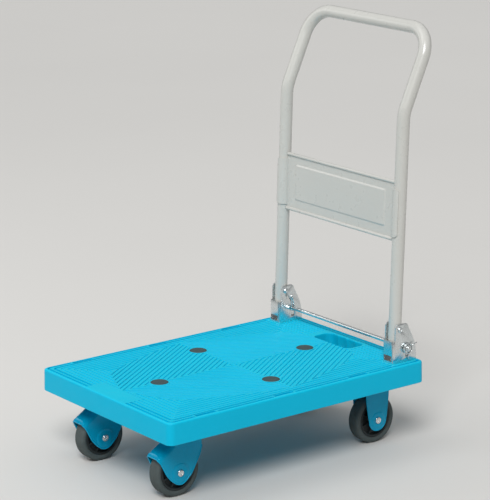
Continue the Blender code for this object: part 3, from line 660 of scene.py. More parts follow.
def hand_hole_loop(grow, z):
    """The hand hole's edge at a height: a rounded rectangle with room for four fingers on its rear side."""
    centre, length, width = HAND_HOLE
    corner = HAND_HOLE_CORNER + grow
    outline = rounded_rectangle(width + 2 * grow, length + 2 * grow, corner, 10)
    reach, half = width / 2 + grow, length / 2 + grow - corner
    count = 60
    outline += [(reach, -half + 2 * half * k / count) for k in range(1, count)]
    loop = []
    for x, y in outline:
        past = (abs(y) % FINGER_PITCH) / FINGER_PITCH * 2 - 1
        bulge = FINGER_DEPTH * (1 - past * past) if x > 0 and abs(y) < 2 * FINGER_PITCH else 0.0
        loop.append((centre + x + bulge, y + HAND_HOLE_SIDE, z))
    return loop


def add_hand_hole(bm):
    """The hand hole's cutter, with a rounded rim and a draft that opens downwards."""
    rim = ((-1.0, 1.2), (0.0, 0.7), (0.4, 0.2), (1.2, -0.2), (4.0, -0.3), (14.0, 1.0), (80.0, 3.0))
    add_loops(bm, [hand_hole_loop(grow, DECK_TOP - drop) for drop, grow in rim])


def add_deck_holes(deck):
    """Hand hole, insert seats, edge recesses, screw holes and kingpin pockets."""
    cut(deck, add_hand_hole)
    seat = DECK_TOP - 3.0
    stem, disc = INSERT_STEM + GAP, INSERT_RADIUS + GAP
    profile = [(100, stem), (seat, stem), (seat, disc), (DECK_TOP - 0.6, disc), (DECK_TOP + 1, disc + 1.6)]
    for centre in insert_places():
        cut(deck, add_turned, "Z", centre, profile, 40)
    length, width, depth = SLOT_SIZE
    for x in SLOT_XS:
        for _, sign in SIDES:
            outline = rounded_rectangle(length, width, 1.2, 3, (x, sign * SLOT_Y))
            cut(deck, add_outline, outline, DECK_TOP - depth, DECK_TOP + 2, "XY")
    for side, _ in SIDES:
        for end in ("front", "rear"):
            drill(deck, "Z", middle(f"bracket_screw_{side}_{end}"), 100, DECK_TOP + 2, SCREW_BORE, 16)
    for side, _ in SIDES:
        drill(deck, "Z", middle(f"kingpin_{side}"), 100, PAD_BOTTOM + 8, 12, 32)


def tread_strip(bm, corner, sign_x, sign_y, offset):
    """One slanted groove of the tread in one quarter of the deck, as a convex cutter."""
    across = (sign_x * math.sin(TREAD_SLOPE), sign_y * math.cos(TREAD_SLOPE))
    points = []
    for z, half, margin in ((DECK_TOP + 0.4, GROOVE_WIDTH / 2 + 0.25, 1.2),
                            (DECK_TOP - GROOVE_DEPTH, GROOVE_WIDTH / 2 - 0.6, 2.0)):
        piece = inset(corner, margin)
        low, high = offset - half, offset + half
        piece = clip(piece, (across[0] * low, across[1] * low), across)
        piece = clip(piece, (across[0] * high, across[1] * high), (-across[0], -across[1]))
        if len(piece) < 3:
            return
        points += [(x, y, z) for x, y in piece]
    bmesh.ops.convex_hull(bm, input=[bm.verts.new(p) for p in points])


def add_tread(bm):
    """Slanted grooves in concentric rhombi."""
    for sign_x in (-1, 1):
        for sign_y in (-1, 1):
            corner = [(sign_x * x, sign_y * y) for x, y in TREAD_FIELD]
            if sign_x * sign_y < 0:
                corner.reverse()
            corner = clip(corner, (FIELD_REAR, 0), (-1, 0))
            reach = max(abs(x) * math.sin(TREAD_SLOPE) + abs(y) * math.cos(TREAD_SLOPE) for x, y in corner)
            count = int(reach / GROOVE_PITCH)
            for k in range(count + 1):
                tread_strip(bm, corner, sign_x, sign_y, (k + 0.5) * GROOVE_PITCH)


def add_border(bm):
    """Grooves parallel to the deck's edges, of which the outer ones are wide and deep."""
    for k in range(BORDER_RINGS):
        centre = BORDER_INSET + k * GROOVE_PITCH
        corner = max(DECK_CORNER - centre, 9.0 - k)
        half, depth = WIDE_RING if k < WIDE_RINGS else FINE_RING
        top, deep = DECK_TOP + 0.4, DECK_TOP - depth
        levels = ((top, -half - 0.3), (top, half + 0.3), (deep, half - 0.6), (deep, -half + 0.6))
        loops = [deck_loop(centre + margin, max(corner - margin, 0.5), z, 6) for z, margin in levels]
        add_loops(bm, loops, closed=True)


def field_outline():
    """The outline of the whole slanted field, a little larger than its grooves."""
    quarter = list(TREAD_FIELD[1:])
    outline = quarter + [(-x, y) for x, y in reversed(quarter[:-1])]
    return outline + [(x, -y) for x, y in reversed(outline[1:-1])]


def build_deck():
    """The moulding, with its border and tread grooves."""
    deck = drawn("deck_moulding", deck_skin)
    add_ribs(deck)
    add_deck_holes(deck)
    low, high = DECK_TOP - 5, DECK_TOP + 5
    border = drawn("border", add_border)
    cut(border, add_outline, field_outline(), low, high, "XY")
    for x0, y0, x1, y1 in BORDER_GAPS:
        cut(border, add_box, (x0, y0, low), (x1, y1, high))
    room_x, room_y = SLOT_ROOM
    for _, sign in SIDES:
        y = sign * HANDLE_HALF
        cut(border, add_box, (243, y - 21, low), (DECK_HIGH.x, y + 21, high))
        y = sign * SLOT_Y
        for x in SLOT_XS:
            cut(border, add_box, (x - room_x, y - room_y, low), (x + room_x, y + room_y, high))
    tread = drawn("tread", add_tread)
    for centre in insert_places():
        drill(tread, "Z", centre, low, high, INSERT_RADIUS + 3.5, 32)
    for grooves in (border, tread):
        combine(deck, grooves, "DIFFERENCE")
    place(deck, "cart", "deck_resin", "deck", smooth=32)


def build_inserts():
    """Rubber discs with a low dome, a rim groove and a stem."""
    for name in ("front", "rear", "left", "right"):
        node = f"grip_insert_{name}"
        low, high = span(node)
        centre = middle(node)
        top, r = high.z, INSERT_RADIUS
        profile = [(low.z, INSERT_STEM - 1), (low.z + 1.5, INSERT_STEM), (DECK_TOP - 2.7, INSERT_STEM),
                   (DECK_TOP - 2.7, r), (top - 0.9, r), (top - 0.4, r - 0.3), (top - 0.1, r - 0.9),
                   (top - 0.1, r - 2.0), (top - 0.5, r - 2.4), (top - 0.5, r - 3.2), (top - 0.1, r - 3.6),
                   (top, 8.0), (top + 0.05, 1.0)]
        piece = drawn(f"insert_{name}", add_turned, "Z", (centre.x, centre.y, 0), profile, 40)
        place(piece, "cart", "insert_rubber", node)


# ---------------------------------------------------------------- handle

def frame_point(across, up, back=0.0):
    """A point on the handle, measured up the tube from the pivot."""
    if up <= KINK_UP:
        x, z = PIVOT.x + up * math.sin(LEAN), PIVOT.z + up * math.cos(LEAN)
        tilt = LEAN
    else:
        rest = up - KINK_UP
        x = PIVOT.x + KINK_UP * math.sin(LEAN) + rest * math.sin(KINK)
        z = PIVOT.z + KINK_UP * math.cos(LEAN) + rest * math.cos(KINK)
        tilt = KINK
    return Vector((x + back * math.cos(tilt), across, z - back * math.sin(tilt)))


def up_at(z):
    """How far up the lower tube, from the pivot, a height above the floor is."""
    return (z - PIVOT.z) / math.cos(LEAN)


def fillet(before, corner, after, radius, steps):
    """Points that round a corner between two straight runs."""
    a = (before - corner).normalized()
    b = (after - corner).normalized()
    half = math.acos(max(-1.0, min(1.0, a.dot(b)))) / 2
    centre = corner + (a + b).normalized() * (radius / math.sin(half))
    start = corner + a * (radius / math.tan(half)) - centre
    end = corner + b * (radius / math.tan(half)) - centre
    sweep = math.pi - 2 * half
    points = []
    for i in range(steps + 1):
        t = i / steps
        turned = start * math.sin((1 - t) * sweep) + end * math.sin(t * sweep)
        points.append(centre + turned / math.sin(sweep))
    return points


def handle_path():
    """The tube's centre line, from one lower end round the loop to the other."""
    heights = (-STUB, KINK_UP, KINK_UP + LOOP_UP)
    corners = [frame_point(-HANDLE_HALF, up) for up in heights]
    corners += [frame_point(HANDLE_HALF, up) for up in reversed(heights)]
    radii = (0, KINK_RADIUS, LOOP_RADIUS, LOOP_RADIUS, KINK_RADIUS, 0)
    steps = (0, 10, 18, 18, 10, 0)
    path = [corners[0]]
    for i in range(1, 5):
        path += fillet(corners[i - 1], corners[i], corners[i + 1], radii[i], steps[i])
    path.append(corners[5])
    return path


def add_tube(bm):
    """The bent tube, hollow."""
    path = handle_path()
    outer = tube_rings(path, TUBE_RADIUS, 40)
    inner = tube_rings(path, TUBE_RADIUS - TUBE_WALL, 40)
    add_loops(bm, outer + list(reversed(inner)), closed=True)


def build_tube():
    """The handle's tube and the plugs in its feet."""
    tube = drawn("handle_tube_bent", add_tube)
    for _, sign in SIDES:
        drill(tube, "Y", (PIVOT.x, sign * HANDLE_HALF, PIVOT.z), -20, 20, PIVOT_BORE, 20)
    place(tube, "handle", "handle_paint", "handle_tube")
    across = Vector((0, 1, 0))
    bore = TUBE_RADIUS - TUBE_WALL - GAP
    profile = [(-1.5, TUBE_RADIUS - 3), (-1.3, TUBE_RADIUS - 1.2), (-0.8, TUBE_RADIUS - 0.4),
               (-GAP, TUBE_RADIUS - 0.2), (-GAP, bore), (8, bore), (9, bore - 1)]
    for side, sign in SIDES:
        end = frame_point(sign * HANDLE_HALF, -STUB)
        along = (frame_point(sign * HANDLE_HALF, 0) - end).normalized()
        out = across.cross(along)
        rings = [circle(end + along * up, out, across, radius, 40) for up, radius in profile]
        place(drawn(f"plug_{side}", add_loops, rings), "handle", "black_plastic", f"tube_plug_{side}")


def field_rise(y, z):
    """How far the panel stands forward at a point: a raised field with sloped, rounded edges."""
    half_y, half_z = FIELD_HALF, (FIELD_Z[1] - FIELD_Z[0]) / 2
    corner, slope = 6.0, 4.2
    dy = abs(y) - half_y + corner
    dz = abs(z - sum(FIELD_Z) / 2) - half_z + corner
    outside = math.hypot(max(dy, 0), max(dz, 0)) + min(max(dy, dz), 0) - corner
    t = max(0.0, min(1.0, -outside / slope))
    return FIELD_RISE * t * t * (3 - 2 * t)


def lines_between(low, high, edges):
    """Grid lines from low to high, close together beside some edges."""
    near, fine, coarse = 7.0, 0.8, 14.0
    steps = int(near / fine)
    lines = {low, high}
    for edge in edges:
        lines.update(edge + k * fine for k in range(-steps, steps + 1))
    count = int((high - low) / coarse)
    for k in range(1, count):
        line = low + (high - low) * k / count
        if all(abs(line - edge) > near for edge in edges):
            lines.add(line)
    return sorted(line for line in lines if low <= line <= high)


def add_sheet(bm):
    """The pressed plate, with its raised field."""
    ys = lines_between(-PANEL_HALF, PANEL_HALF, (-FIELD_HALF, FIELD_HALF))
    loops = []
    rear = -PANEL_FRONT + PANEL_THICK
    for z in lines_between(PANEL_LOW, PANEL_HIGH, FIELD_Z):
        loop = [frame_point(y, up_at(z), -PANEL_FRONT - field_rise(y, z)) for y in ys]
        loop += [frame_point(y, up_at(z), rear - field_rise(y, z)) for y in reversed(ys)]
        loops.append(loop)
    add_loops(bm, loops, strips=len(ys))


def add_saddle(bm, sign):
    """A flange of the panel that wraps the front of a tube, with rounded corners."""
    steps, rows = 20, 24
    low, high = SADDLE_Z
    corner = 6.0
    loops = []
    for row in range(rows + 1):
        z = low + (high - low) * (row / rows)
        edge = min(z - low, high - z)
        drop = 0.0 if edge >= corner else 1 - math.sqrt(max(0.0, 1 - ((corner - edge) / corner) ** 2))
        last = 35.0 - 22.0 * drop
        outer, inner = [], []
        for k in range(steps + 1):
            turn = math.radians(-88.0 + (last + 88.0) * k / steps)
            for radius, points in ((TUBE_RADIUS + 2.3, outer), (TUBE_RADIUS + 0.05, inner)):
                across = sign * (HANDLE_HALF + radius * math.sin(turn))
                points.append(frame_point(across, up_at(z), -radius * math.cos(turn)))
        loops.append(outer + list(reversed(inner)))
    add_loops(bm, loops, strips=steps + 1)


def add_bead(bm, z):
    """A rolled hem along the panel's edge, with rounded ends."""
    centre = frame_point(0, up_at(z), -PANEL_FRONT + 0.5)
    half, r = PANEL_HALF - 1.5, BEAD_RADIUS
    profile = []
    for i in range(5):
        turn = math.pi / 2 * i / 4
        profile.append((-half - r * 0.6 * math.cos(turn), max(r * math.sin(turn), 0.4)))
    add_turned(bm, "Y", centre, mirrored(profile), 20)


def build_panel():
    """The pressed panel, with a hem on two edges and a flange on each tube."""
    panel = drawn("handle_panel_pressed", add_sheet)
    for z in (PANEL_LOW, PANEL_HIGH):
        join(panel, add_bead, z)
    for _, sign in SIDES:
        join(panel, add_saddle, sign)
    place(panel, "handle", "handle_paint", "handle_panel", smooth=50)


# ---------------------------------------------------------------- hinge brackets and lock

def fan_outline():
    """A bracket's side plate, seen from the side, with a curved rear edge."""
    base = DECK_TOP + GAP
    front = BRACKET_FRONT + 6.0
    rear = [(BRACKET_REAR, base), (BRACKET_REAR, 197)]
    curve = ((197, 310.0), (215, 306.5), (231, 300.5), (245, 293.5), (254, 288.5))
    for step in range(1, 14):
        z = 197 + 57 * step / 13
        rear.append((curve_at(z, curve), z))
    crown = arc((280.0, 254.0), 8.5, 10, 90, 6)
    top = arc((262.0, 255.0), 7.5, 90, 178, 6)
    return [(front, base)] + rear + crown + top


def front_wall_outline(sign):
    """The bracket's front wall and the bends that join it to the side plates, seen from above."""
    outer, bend = BRACKET_INNER + SHEET, 6.0
    centre_x = BRACKET_FRONT + bend
    rear = centre_x + 1.0
    right, left = (centre_x, bend - outer), (centre_x, outer - bend)
    outline = arc(left, bend, 90, 180, 8) + arc(right, bend, 180, 270, 8)
    outline += [(rear, -outer), (rear, -BRACKET_INNER)]
    outline += arc(right, bend - SHEET, 270, 180, 8) + arc(left, bend - SHEET, 180, 90, 8)
    outline += [(rear, BRACKET_INNER), (rear, outer)]
    return [(x, y + sign * HANDLE_HALF) for x, y in outline]


def slot_outline(upper, lower, half):
    """A slot with round ends between two (x, z) points."""
    slope = math.degrees(math.atan2(upper[1] - lower[1], upper[0] - lower[0]))
    return arc(upper, half, slope - 90, slope + 90, 10) + arc(lower, half, slope + 90, slope + 270, 10)


def build_brackets():
    """Folded sheets with a window in front, slots for the lock bar and the spring, and bores."""
    base = DECK_TOP + GAP
    lock_slot = slot_outline((LOCK.x, LOCK.z), (LOCK.x, LOCK.z - LOCK_TRAVEL), LOCK_RADIUS + GAP)
    for side, sign in SIDES:
        centre = sign * HANDLE_HALF
        piece = drawn(f"bracket_{side}", add_outline, front_wall_outline(sign), base, FRONT_WALL_TOP, "XY")
        for edge in (-1, 1):
            ends = sorted((centre + edge * BRACKET_INNER, centre + edge * (BRACKET_INNER + SHEET)))
            join(piece, add_outline, fan_outline(), *ends)
        join(piece, add_box, (BRACKET_FRONT + 0.5, centre - BRACKET_INNER - 0.5, base + 0.01),
             (BRACKET_REAR - 2, centre + BRACKET_INNER + 0.5, base + SHEET))
        window = rounded_rectangle(*WINDOW_SIZE, 1.5, 3, (centre, WINDOW_UP))
        through = (BRACKET_FRONT - 3, BRACKET_FRONT + 3.5)
        cut(piece, add_loops, [[(x, y, z) for y, z in window] for x in through])
        drill(piece, "Y", (PIVOT.x, centre, PIVOT.z), -20, 20, PIVOT_BORE)
        cut(piece, add_outline, lock_slot, centre - 20, centre + 20)
        inner_face = centre - sign * (BRACKET_INNER + SHEET / 2)
        cut(piece, add_outline, slot_outline(*SPRING_SLOT), inner_face - 3, inner_face + 3)
        drill(piece, "Y", (HAIRPIN_TOP[0], inner_face, HAIRPIN_TOP[1]), -3, 3, 2.4, 20)
        for end in ("front", "rear"):
            drill(piece, "Z", middle(f"bracket_screw_{side}_{end}"), base - 2, base + 6, SCREW_BORE, 20)
        place(piece, "cart", "zinc_plate", f"hinge_bracket_{side}", soften=0.35)


def add_hexagon(bm, axis, centre, near, far, flat):
    """A hexagonal head, chamfered on its far side."""
    corner = flat / 2 / math.cos(math.pi / 6)
    step = 1 if far > near else -1
    add_turned(bm, axis, centre, [(near, corner), (far - step * 1.0, corner), (far, flat / 2 * 0.93)], 6)


def add_domed_head(bm, centre, inside, radius, height, sign):
    """A rivet-like head on the Y axis: a dome with a shallow dimple in it."""
    steps, rim = 6, 0.5
    profile = [(0, 1), (rim, 1)]
    for i in range(1, steps + 1):
        turn = math.pi / 2 * i / steps
        profile.append((rim + (height - rim) * math.sin(turn), 0.55 + 0.45 * math.cos(turn)))
    profile += [(height - 0.3, 0.42), (height - 1.2, 0.32), (height - 1.3, 0.05)]
    add_turned(bm, "Y", centre, [(inside + sign * out, radius * share) for out, share in profile], 28)


def round_nut(name, centre, near, far, bore, radius, tip, sides):
    """A low round nut on the Y axis, which narrows to the tip radius on its far side."""
    ring = [(near, bore), (near, radius), ((near + far) / 2, radius), (far, tip), (far, bore)]
    return turned(name, centre, ring, sides, False)


def build_pivots():
    """The bolts that the handle turns on, and their nuts on the brackets' inner sides."""
    plate = BRACKET_INNER + SHEET
    for side, sign in SIDES:
        centre = (PIVOT.x, sign * HANDLE_HALF, PIVOT.z)
        end, seat = -sign * (plate + 3.4), sign * (plate + GAP)
        shaft = [(end, 2.4), (end + sign * 0.6, 3.6), (end + sign * 1.2, 4.0), (seat + sign * 0.2, 4.0)]
        piece = turned(f"pivot_bolt_piece_{side}", centre, shaft, 28)
        join(piece, add_domed_head, centre, seat, 5.5, 3.3, sign)
        place(piece, "cart", "zinc_plate", f"pivot_bolt_{side}")
        near, far = -sign * (plate + GAP), -sign * (plate + 2.6)
        nut = round_nut(f"pivot_nut_piece_{side}", centre, near, far, 4.1, 6.0, 5.1, 28)
        place(nut, "cart", "zinc_plate", f"pivot_nut_{side}", soften=0.2)


def build_screws():
    """Pan-head screws with a cross recess."""
    seat = DECK_TOP + GAP + SHEET + GAP
    profile = [(162, 1.2), (164, 3.0), (seat, 3.0), (seat, 5.5), (seat + 0.8, 5.5)]
    profile += [(seat + z, r) for r, z in arc((2.6, 0.8), 2.6, 15, 85, 5)]
    for side, _ in SIDES:
        for end in ("front", "rear"):
            node = f"bracket_screw_{side}_{end}"
            x, y, _ = middle(node)
            piece = drawn(f"screw_{side}_{end}", add_turned, "Z", (x, y, 0), profile, 28)
            for length, width in ((5.2, 1.1), (1.1, 5.2)):
                low = (x - length / 2, y - width / 2, seat + 1.4)
                cut(piece, add_box, low, (x + length / 2, y + width / 2, seat + 6))
            place(piece, "cart", "zinc_plate", node)


def spring_path(sign):
    """A lock spring's line: a foot on the bracket, the coil round the rod and an arm to the rear."""
    start = sign * (HANDLE_HALF + BRACKET_INNER + SHEET + 0.6)
    count = 78
    path = []
    for k in range(count + 1):
        t = k / count
        angle = math.radians(-60) + 2 * math.pi * COIL_TURNS * t
        path.append((LOCK.x + COIL_RADIUS * math.cos(angle), start + sign * (WIRE + 3.4 * t),
                     LOCK.z + COIL_RADIUS * math.sin(angle)))
    x, y, z = path[-1]
    arm = [(x + 5, y, z + 1.5), (x + 13, y, z + 4.0)]
    y = path[0][1]
    foot = [(291.5, y, 185.8), (288.2, y, 186.6), (287.0, y, 190.0), (288.0, y, 196.0)]
    return foot + path + arm


def build_lock():
    """The rod, its springs and collars, and the hairpin wires beside the inner plates."""
    half, r = span("lock_bar")[1].y, LOCK_RADIUS
    centre = (LOCK.x, 0, LOCK.z)
    profile = mirrored([(-half, r - 1.6), (-half + 0.4, r - 0.6), (-half + 1.2, r)])
    place(turned("lock_rod", centre, profile, 32), "lock", "zinc_plate", "lock_bar")
    for side, sign in SIDES:
        path = spring_path(sign)
        spring = drawn(f"lock_spring_coil_{side}", add_wire, path, WIRE, 10, Vector((1, 0, 0.1)))
        y = path[0][1]
        bend = (286.0, y, 199.5), (288.0, y, 190.0)
        blended(spring, "lock", "cart", *bend, "zinc_plate", f"lock_spring_{side}")
        inside, outside = sign * (HANDLE_HALF + 17.0), sign * (HANDLE_HALF + 22.4)
        ring = [(inside, 4.2), (inside, 6.5), (inside + sign * 0.4, 6.9), (outside - sign * 0.6, 6.9),
                (outside, 6.3), (outside, 4.2)]
        collar = turned(f"collar_{side}", centre, ring, 32, False)
        place(collar, "lock", "zinc_plate", f"lock_collar_{side}")
        build_hairpin(side, sign)


def blended(piece, first, second, start, end, slot, *nodes):
    """Shade a piece smoothly, give it its finish, bake its place into its mesh and let it stand for its
    nodes; first and second are not used, and start and end (millimetre points) are turned into metres but
    not used.
    """
    piece.data.shade_smooth()
    piece.data.materials.append(FINISH[slot])
    start, end = (Vector(p) * MM + Vector((SHIFT, 0, 0)) for p in (start, end))
    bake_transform(piece)
    if nodes:
        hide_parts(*nodes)


def build_hairpin(side, sign):
    """A bent wire beside the inner plate that pulls the rod up: both ends hook into the plate."""
    plate = sign * (HANDLE_HALF - BRACKET_INNER - SHEET)
    y = plate - sign * 1.5
    upper, lower = Vector(HAIRPIN_TOP), Vector((LOCK.x, LOCK.z))
    run = (lower - upper).normalized()
    across = Vector((-run.y, run.x))
    tight, wide = 0.9, LOCK_RADIUS + 1.1
    legs = []
    for way in (-1, 1):
        leg = [upper + across * way * tight]
        for k in range(1, 9):
            t = 0.12 + 0.88 * k / 8
            leg.append(upper.lerp(lower, t) + across * way * (tight + (wide - tight) * t))
        legs.append([(p.x, y, p.y) for p in leg])
    slope = math.degrees(math.atan2(run.y, run.x))
    loop = [(x, y, z) for x, z in arc(lower, wide, slope - 90, slope + 90, 14)][1:-1]
    tips = (plate + sign * 2.0, plate - sign * 0.8)
    ends = [[(leg[0][0], tip, leg[0][2]) for tip in tips] for leg in legs]
    path = ends[0] + legs[0][1:] + loop + legs[1][:0:-1] + ends[1][::-1]
    wire = drawn(f"lock_hairpin_{side}", add_wire, path, 0.9, 10, Vector((0, 0, 1)))
    blended(wire, "cart", "lock", (upper.x, y, upper.y), (lower.x, y, lower.y + 4), "bright_steel")


# ---------------------------------------------------------------- casters

SWIVEL_TOP = ((-49.0, 85.6), (-48.4, 88.0), (-46.4, 91.4), (-43.5, 94.2), (-40, 96.6), (-33, 100.8),
              (-24, 106.5), (-14, 113.5), (-5, 121.5), (0, 126.2), (3, 128.5), (6, CROWN_TOP),
              (53, CROWN_TOP))
SWIVEL_LOW = ((-49.0, 83.8), (-48.0, 83.0), (-46.8, 81.4), (-44.8, 78.4), (-41.5, 72.5), (-36.3, 62),
              (-30.4, 51), (-20.2, 38.8), (-12, 32), (-6.5, 28.8), (3, 27.2), (12.3, 31.5), (20, 38),
              (26.5, 45), (37.8, 64), (47, 81.5), (51.0, 96))
HOOD_SHOULDER = 14.0
HOOD_TIP = (-40.0, 9.6, 7.0)           # where the hood's sides start to close in, over what run, how much


def hood_narrowing(x):
    """How much each side of a hood closes in at x, in a quarter of an ellipse."""
    start, run, amount = HOOD_TIP
    past = max(0.0, min(1.0, (start - x) / run))
    return amount * (1 - math.sqrt(1 - past * past))


def fork_section(x, top, low, wall_top, shoulder):
    """An upside-down U across the wheel: the outer line over the top, then the inner line back."""
    steps = 8
    inner = FORK_INNER - hood_narrowing(x)
    outer = FORK_INNER + FORK_WALL - hood_narrowing(x)
    radius = min(shoulder, (top - low) * 0.85)
    inner_top = max(top - wall_top, low + 0.8)
    inner_radius = max(min(radius - FORK_WALL, inner_top - low - 0.3), 0.4)
    corner = (outer - radius, top - radius)
    line = [(-outer, low)] + [(-y, z) for y, z in arc(corner, radius, 0, 90, steps)]
    line += arc(corner, radius, 90, 0, steps) + [(outer, low), (inner, low)]
    inner_centre = (inner - inner_radius, inner_top - inner_radius)
    line += arc(inner_centre, inner_radius, 0, 90, steps)
    line += [(-y, z) for y, z in arc(inner_centre, inner_radius, 90, 0, steps)]
    return line + [(-inner, low)]


def add_fork(bm, centre, stations, shoulder):
    """Sweep the U section along X; each station is (x from the axle, top, lower edge)."""
    loops = []
    for i, (x, top, low) in enumerate(stations):
        before, after = stations[max(i - 1, 0)], stations[min(i + 1, len(stations) - 1)]
        slope = (after[1] - before[1]) / (after[0] - before[0])
        wall_top = FORK_WALL * math.sqrt(1 + min(abs(slope), 1.6) ** 2)
        section = fork_section(x, top, low, wall_top, shoulder)
        loops.append([(centre.x + x, centre.y + y, z) for y, z in section])
    add_loops(bm, loops)


def swivel_stations():
    """The hood and legs of a swivel fork."""
    count = 64
    first, last = SWIVEL_LOW[0][0], SWIVEL_LOW[-1][0]
    places = [first + (last - first) * i / count for i in range(count + 1)]
    return [(x, curve_at(x, SWIVEL_TOP), curve_at(x, SWIVEL_LOW)) for x in places]


def fixed_stations():
    """The straight legs of a fixed fork, which taper to a round foot at the axle."""
    foot, crown = FOOT_RADIUS, PAD_BOTTOM - 2.0
    front = ((49.0, -foot - 0.2), (80.0, -27.5), (106.0, -30.5), (137.0, -31.5))
    rear = ((49.0, foot + 0.2), (70.0, 24.5), (90.0, 26.5), (118.0, 28.5), (137.0, 29.5))
    edge = [(curve_at(z, front), z) for z in (137, 125, 115, 106, 97, 88, 80, 72, 64, 56)]
    for angle in range(183, 358, 6):
        turn = math.radians(angle)
        edge.append((foot * math.cos(turn), WHEEL_RADIUS + foot * math.sin(turn)))
    edge += [(curve_at(z, rear), z) for z in (52, 60, 70, 80, 90, 104, 118, 137)]
    return [(x, crown, min(low, crown - 6.0)) for x, low in edge]


def leg_edge(centre, stations, side):
    """The line that a rolled lip follows along one lower edge of a fork."""
    out = FORK_INNER + FORK_WALL - 0.7
    line = [(x, side * (out - hood_narrowing(x)), low) for x, _, low in stations]
    return [Vector((centre.x + x, centre.y + y, low)) for x, y, low in line]


def hood_edge(centre, stations):
    """The line along both lower edges of a hood and across its front."""
    x, top, low = stations[0]
    section = fork_section(x, top, low, FORK_WALL, HOOD_SHOULDER)[1:19]
    front = [Vector((centre.x + x + 0.6, centre.y + y * 0.96, z - 0.5)) for y, z in section]
    return leg_edge(centre, stations, -1)[::-1] + front + leg_edge(centre, stations, 1)


def add_emboss(bm, centre, sign, radius):
    """A low round step pressed out of a leg round its axle."""
    outer, rise = FORK_INNER + FORK_WALL, 0.9
    profile = [(outer - 0.8, radius), (outer + rise * 0.3, radius - 0.2), (outer + rise, radius - 1.8),
               (outer + rise, radius * 0.5), (outer + rise * 0.4, radius * 0.42)]
    add_turned(bm, "Y", centre, [(sign * out, r) for out, r in profile], 48)


def plate_outline(centre):
    """A mounting plate's outline."""
    return rounded_rectangle(*PLATE_SIZE, 8, 6, centre)


def bolt_spots(centre):
    """Where the four bolts of a caster's plate are, on the floor under them."""
    x, y = BOLT_HOLES
    return [(centre.x + i * x, centre.y + j * y, 0) for i in (-1, 1) for j in (-1, 1)]


def plate_holes(piece, centre):
    """Cut the four fixing holes."""
    for spot in bolt_spots(centre):
        drill(piece, "Z", spot, PAD_BOTTOM - 8, PAD_BOTTOM + 4, 4.2, 20)


def add_bolts(bm, centre):
    """Four hexagon bolts with washers that hold a caster's plate up to the deck."""
    under = PLATE_UNDER
    profile = [(under - 1.3, 6.2), (under - 0.05, 6.4), (under - 0.05, 3.0), (PAD_BOTTOM + 6, 3.0)]
    for spot in bolt_spots(centre):
        add_turned(bm, "Z", spot, profile, 24)
        add_hexagon(bm, "Z", spot, under - 1.25, under - 5.2, 9.8)


def build_fork(name):
    """A caster's fork, with its rolled lip, embossed axle seats and, if it is fixed, its plate."""
    centre = middle(f"tyre_{name}")
    steers = name.startswith("swivel")
    side = name.split("_")[1]
    stations = swivel_stations() if steers else fixed_stations()
    shoulder = HOOD_SHOULDER if steers else FIXED_SHOULDER
    fork = drawn(f"caster_fork_{name}", add_fork, centre, stations, shoulder)
    for sign in (-1, 1):
        join(fork, add_emboss, centre, sign, 20.0 if steers else 17.5)
    start = Vector((0, 1, 0.3))
    if steers:
        join(fork, add_wire, hood_edge(centre, stations), SWIVEL_LIP, 10, start)
        drill(fork, "Z", middle(f"kingpin_{side}"), CROWN_TOP - 8, CROWN_TOP + 4, KINGPIN_BORE)
    else:
        for sign in (-1, 1):
            join(fork, add_wire, leg_edge(centre, stations[::-1], sign)[1:-1], FIXED_LIP, 10, start)
        join(fork, add_outline, plate_outline(centre), PAD_BOTTOM - 3.3, PAD_BOTTOM - GAP, "XY")
        plate_holes(fork, centre)
    drill(fork, "Y", centre, -30, 30, AXLE_RADIUS + GAP)
    place(fork, f"swivel_{side}" if steers else "cart", "caster_paint", f"fork_{name}", smooth=38)


def build_swivel_mount(side):
    """Plate, ball race and kingpin of a swivel caster."""
    pin = middle(f"kingpin_{side}")
    low, high = (corner.z for corner in span(f"swivel_race_{side}"))
    plate = drawn(f"plate_{side}", add_outline, plate_outline(pin), PLATE_UNDER, PAD_BOTTOM - GAP, "XY")
    plate_holes(plate, pin)
    drill(plate, "Z", pin, PLATE_UNDER - 2, PLATE_UNDER + 6, KINGPIN_BORE)
    place(plate, "cart", "caster_paint", f"mount_plate_{side}", soften=0.5)
    profile = [(low, KINGPIN_BORE), (low, 22.5), (low + 0.6, 24.2), (low + 2.6, 25.0), (low + 3.4, 24.2),
               (low + 3.6, 22.0), (low + 4.8, 22.0), (low + 5.0, 25.4), (low + 5.6, 26.0),
               (high - 0.6, 26.0), (high, 25.2), (high, KINGPIN_BORE)]
    race = drawn(f"race_{side}", add_turned, "Z", (pin.x, pin.y, 0), profile, 56, False)
    ball = [(-1.9, 0.3), (-1.5, 1.2), (-0.8, 1.75), (0, 1.9), (0.8, 1.75), (1.5, 1.2), (1.9, 0.3)]
    balls, reach = 20, 22.6
    for k in range(balls):
        turn = 2 * math.pi * k / balls
        spot = (pin.x + reach * math.cos(turn), pin.y + reach * math.sin(turn), low + 4.2)
        join(race, add_turned, "Z", spot, ball, 12)
    place(race, "cart", "zinc_plate", f"swivel_race_{side}")
    crown = CROWN_TOP - FORK_WALL - GAP
    shaft = [(crown - 5.6, 3.4), (crown - 5.0, 4.2), (PAD_BOTTOM, 5.0), (PAD_BOTTOM, 9.0),
             (PAD_BOTTOM + 3.5, 9.0), (PAD_BOTTOM + 5, 7.0)]
    kingpin = drawn(f"kingpin_bolt_{side}", add_turned, "Z", (pin.x, pin.y, 0), shaft, 28)
    join(kingpin, add_hexagon, "Z", (pin.x, pin.y, 0), crown, crown - 4.6, 15.5)
    place(kingpin, "cart", "zinc_plate", f"kingpin_{side}")


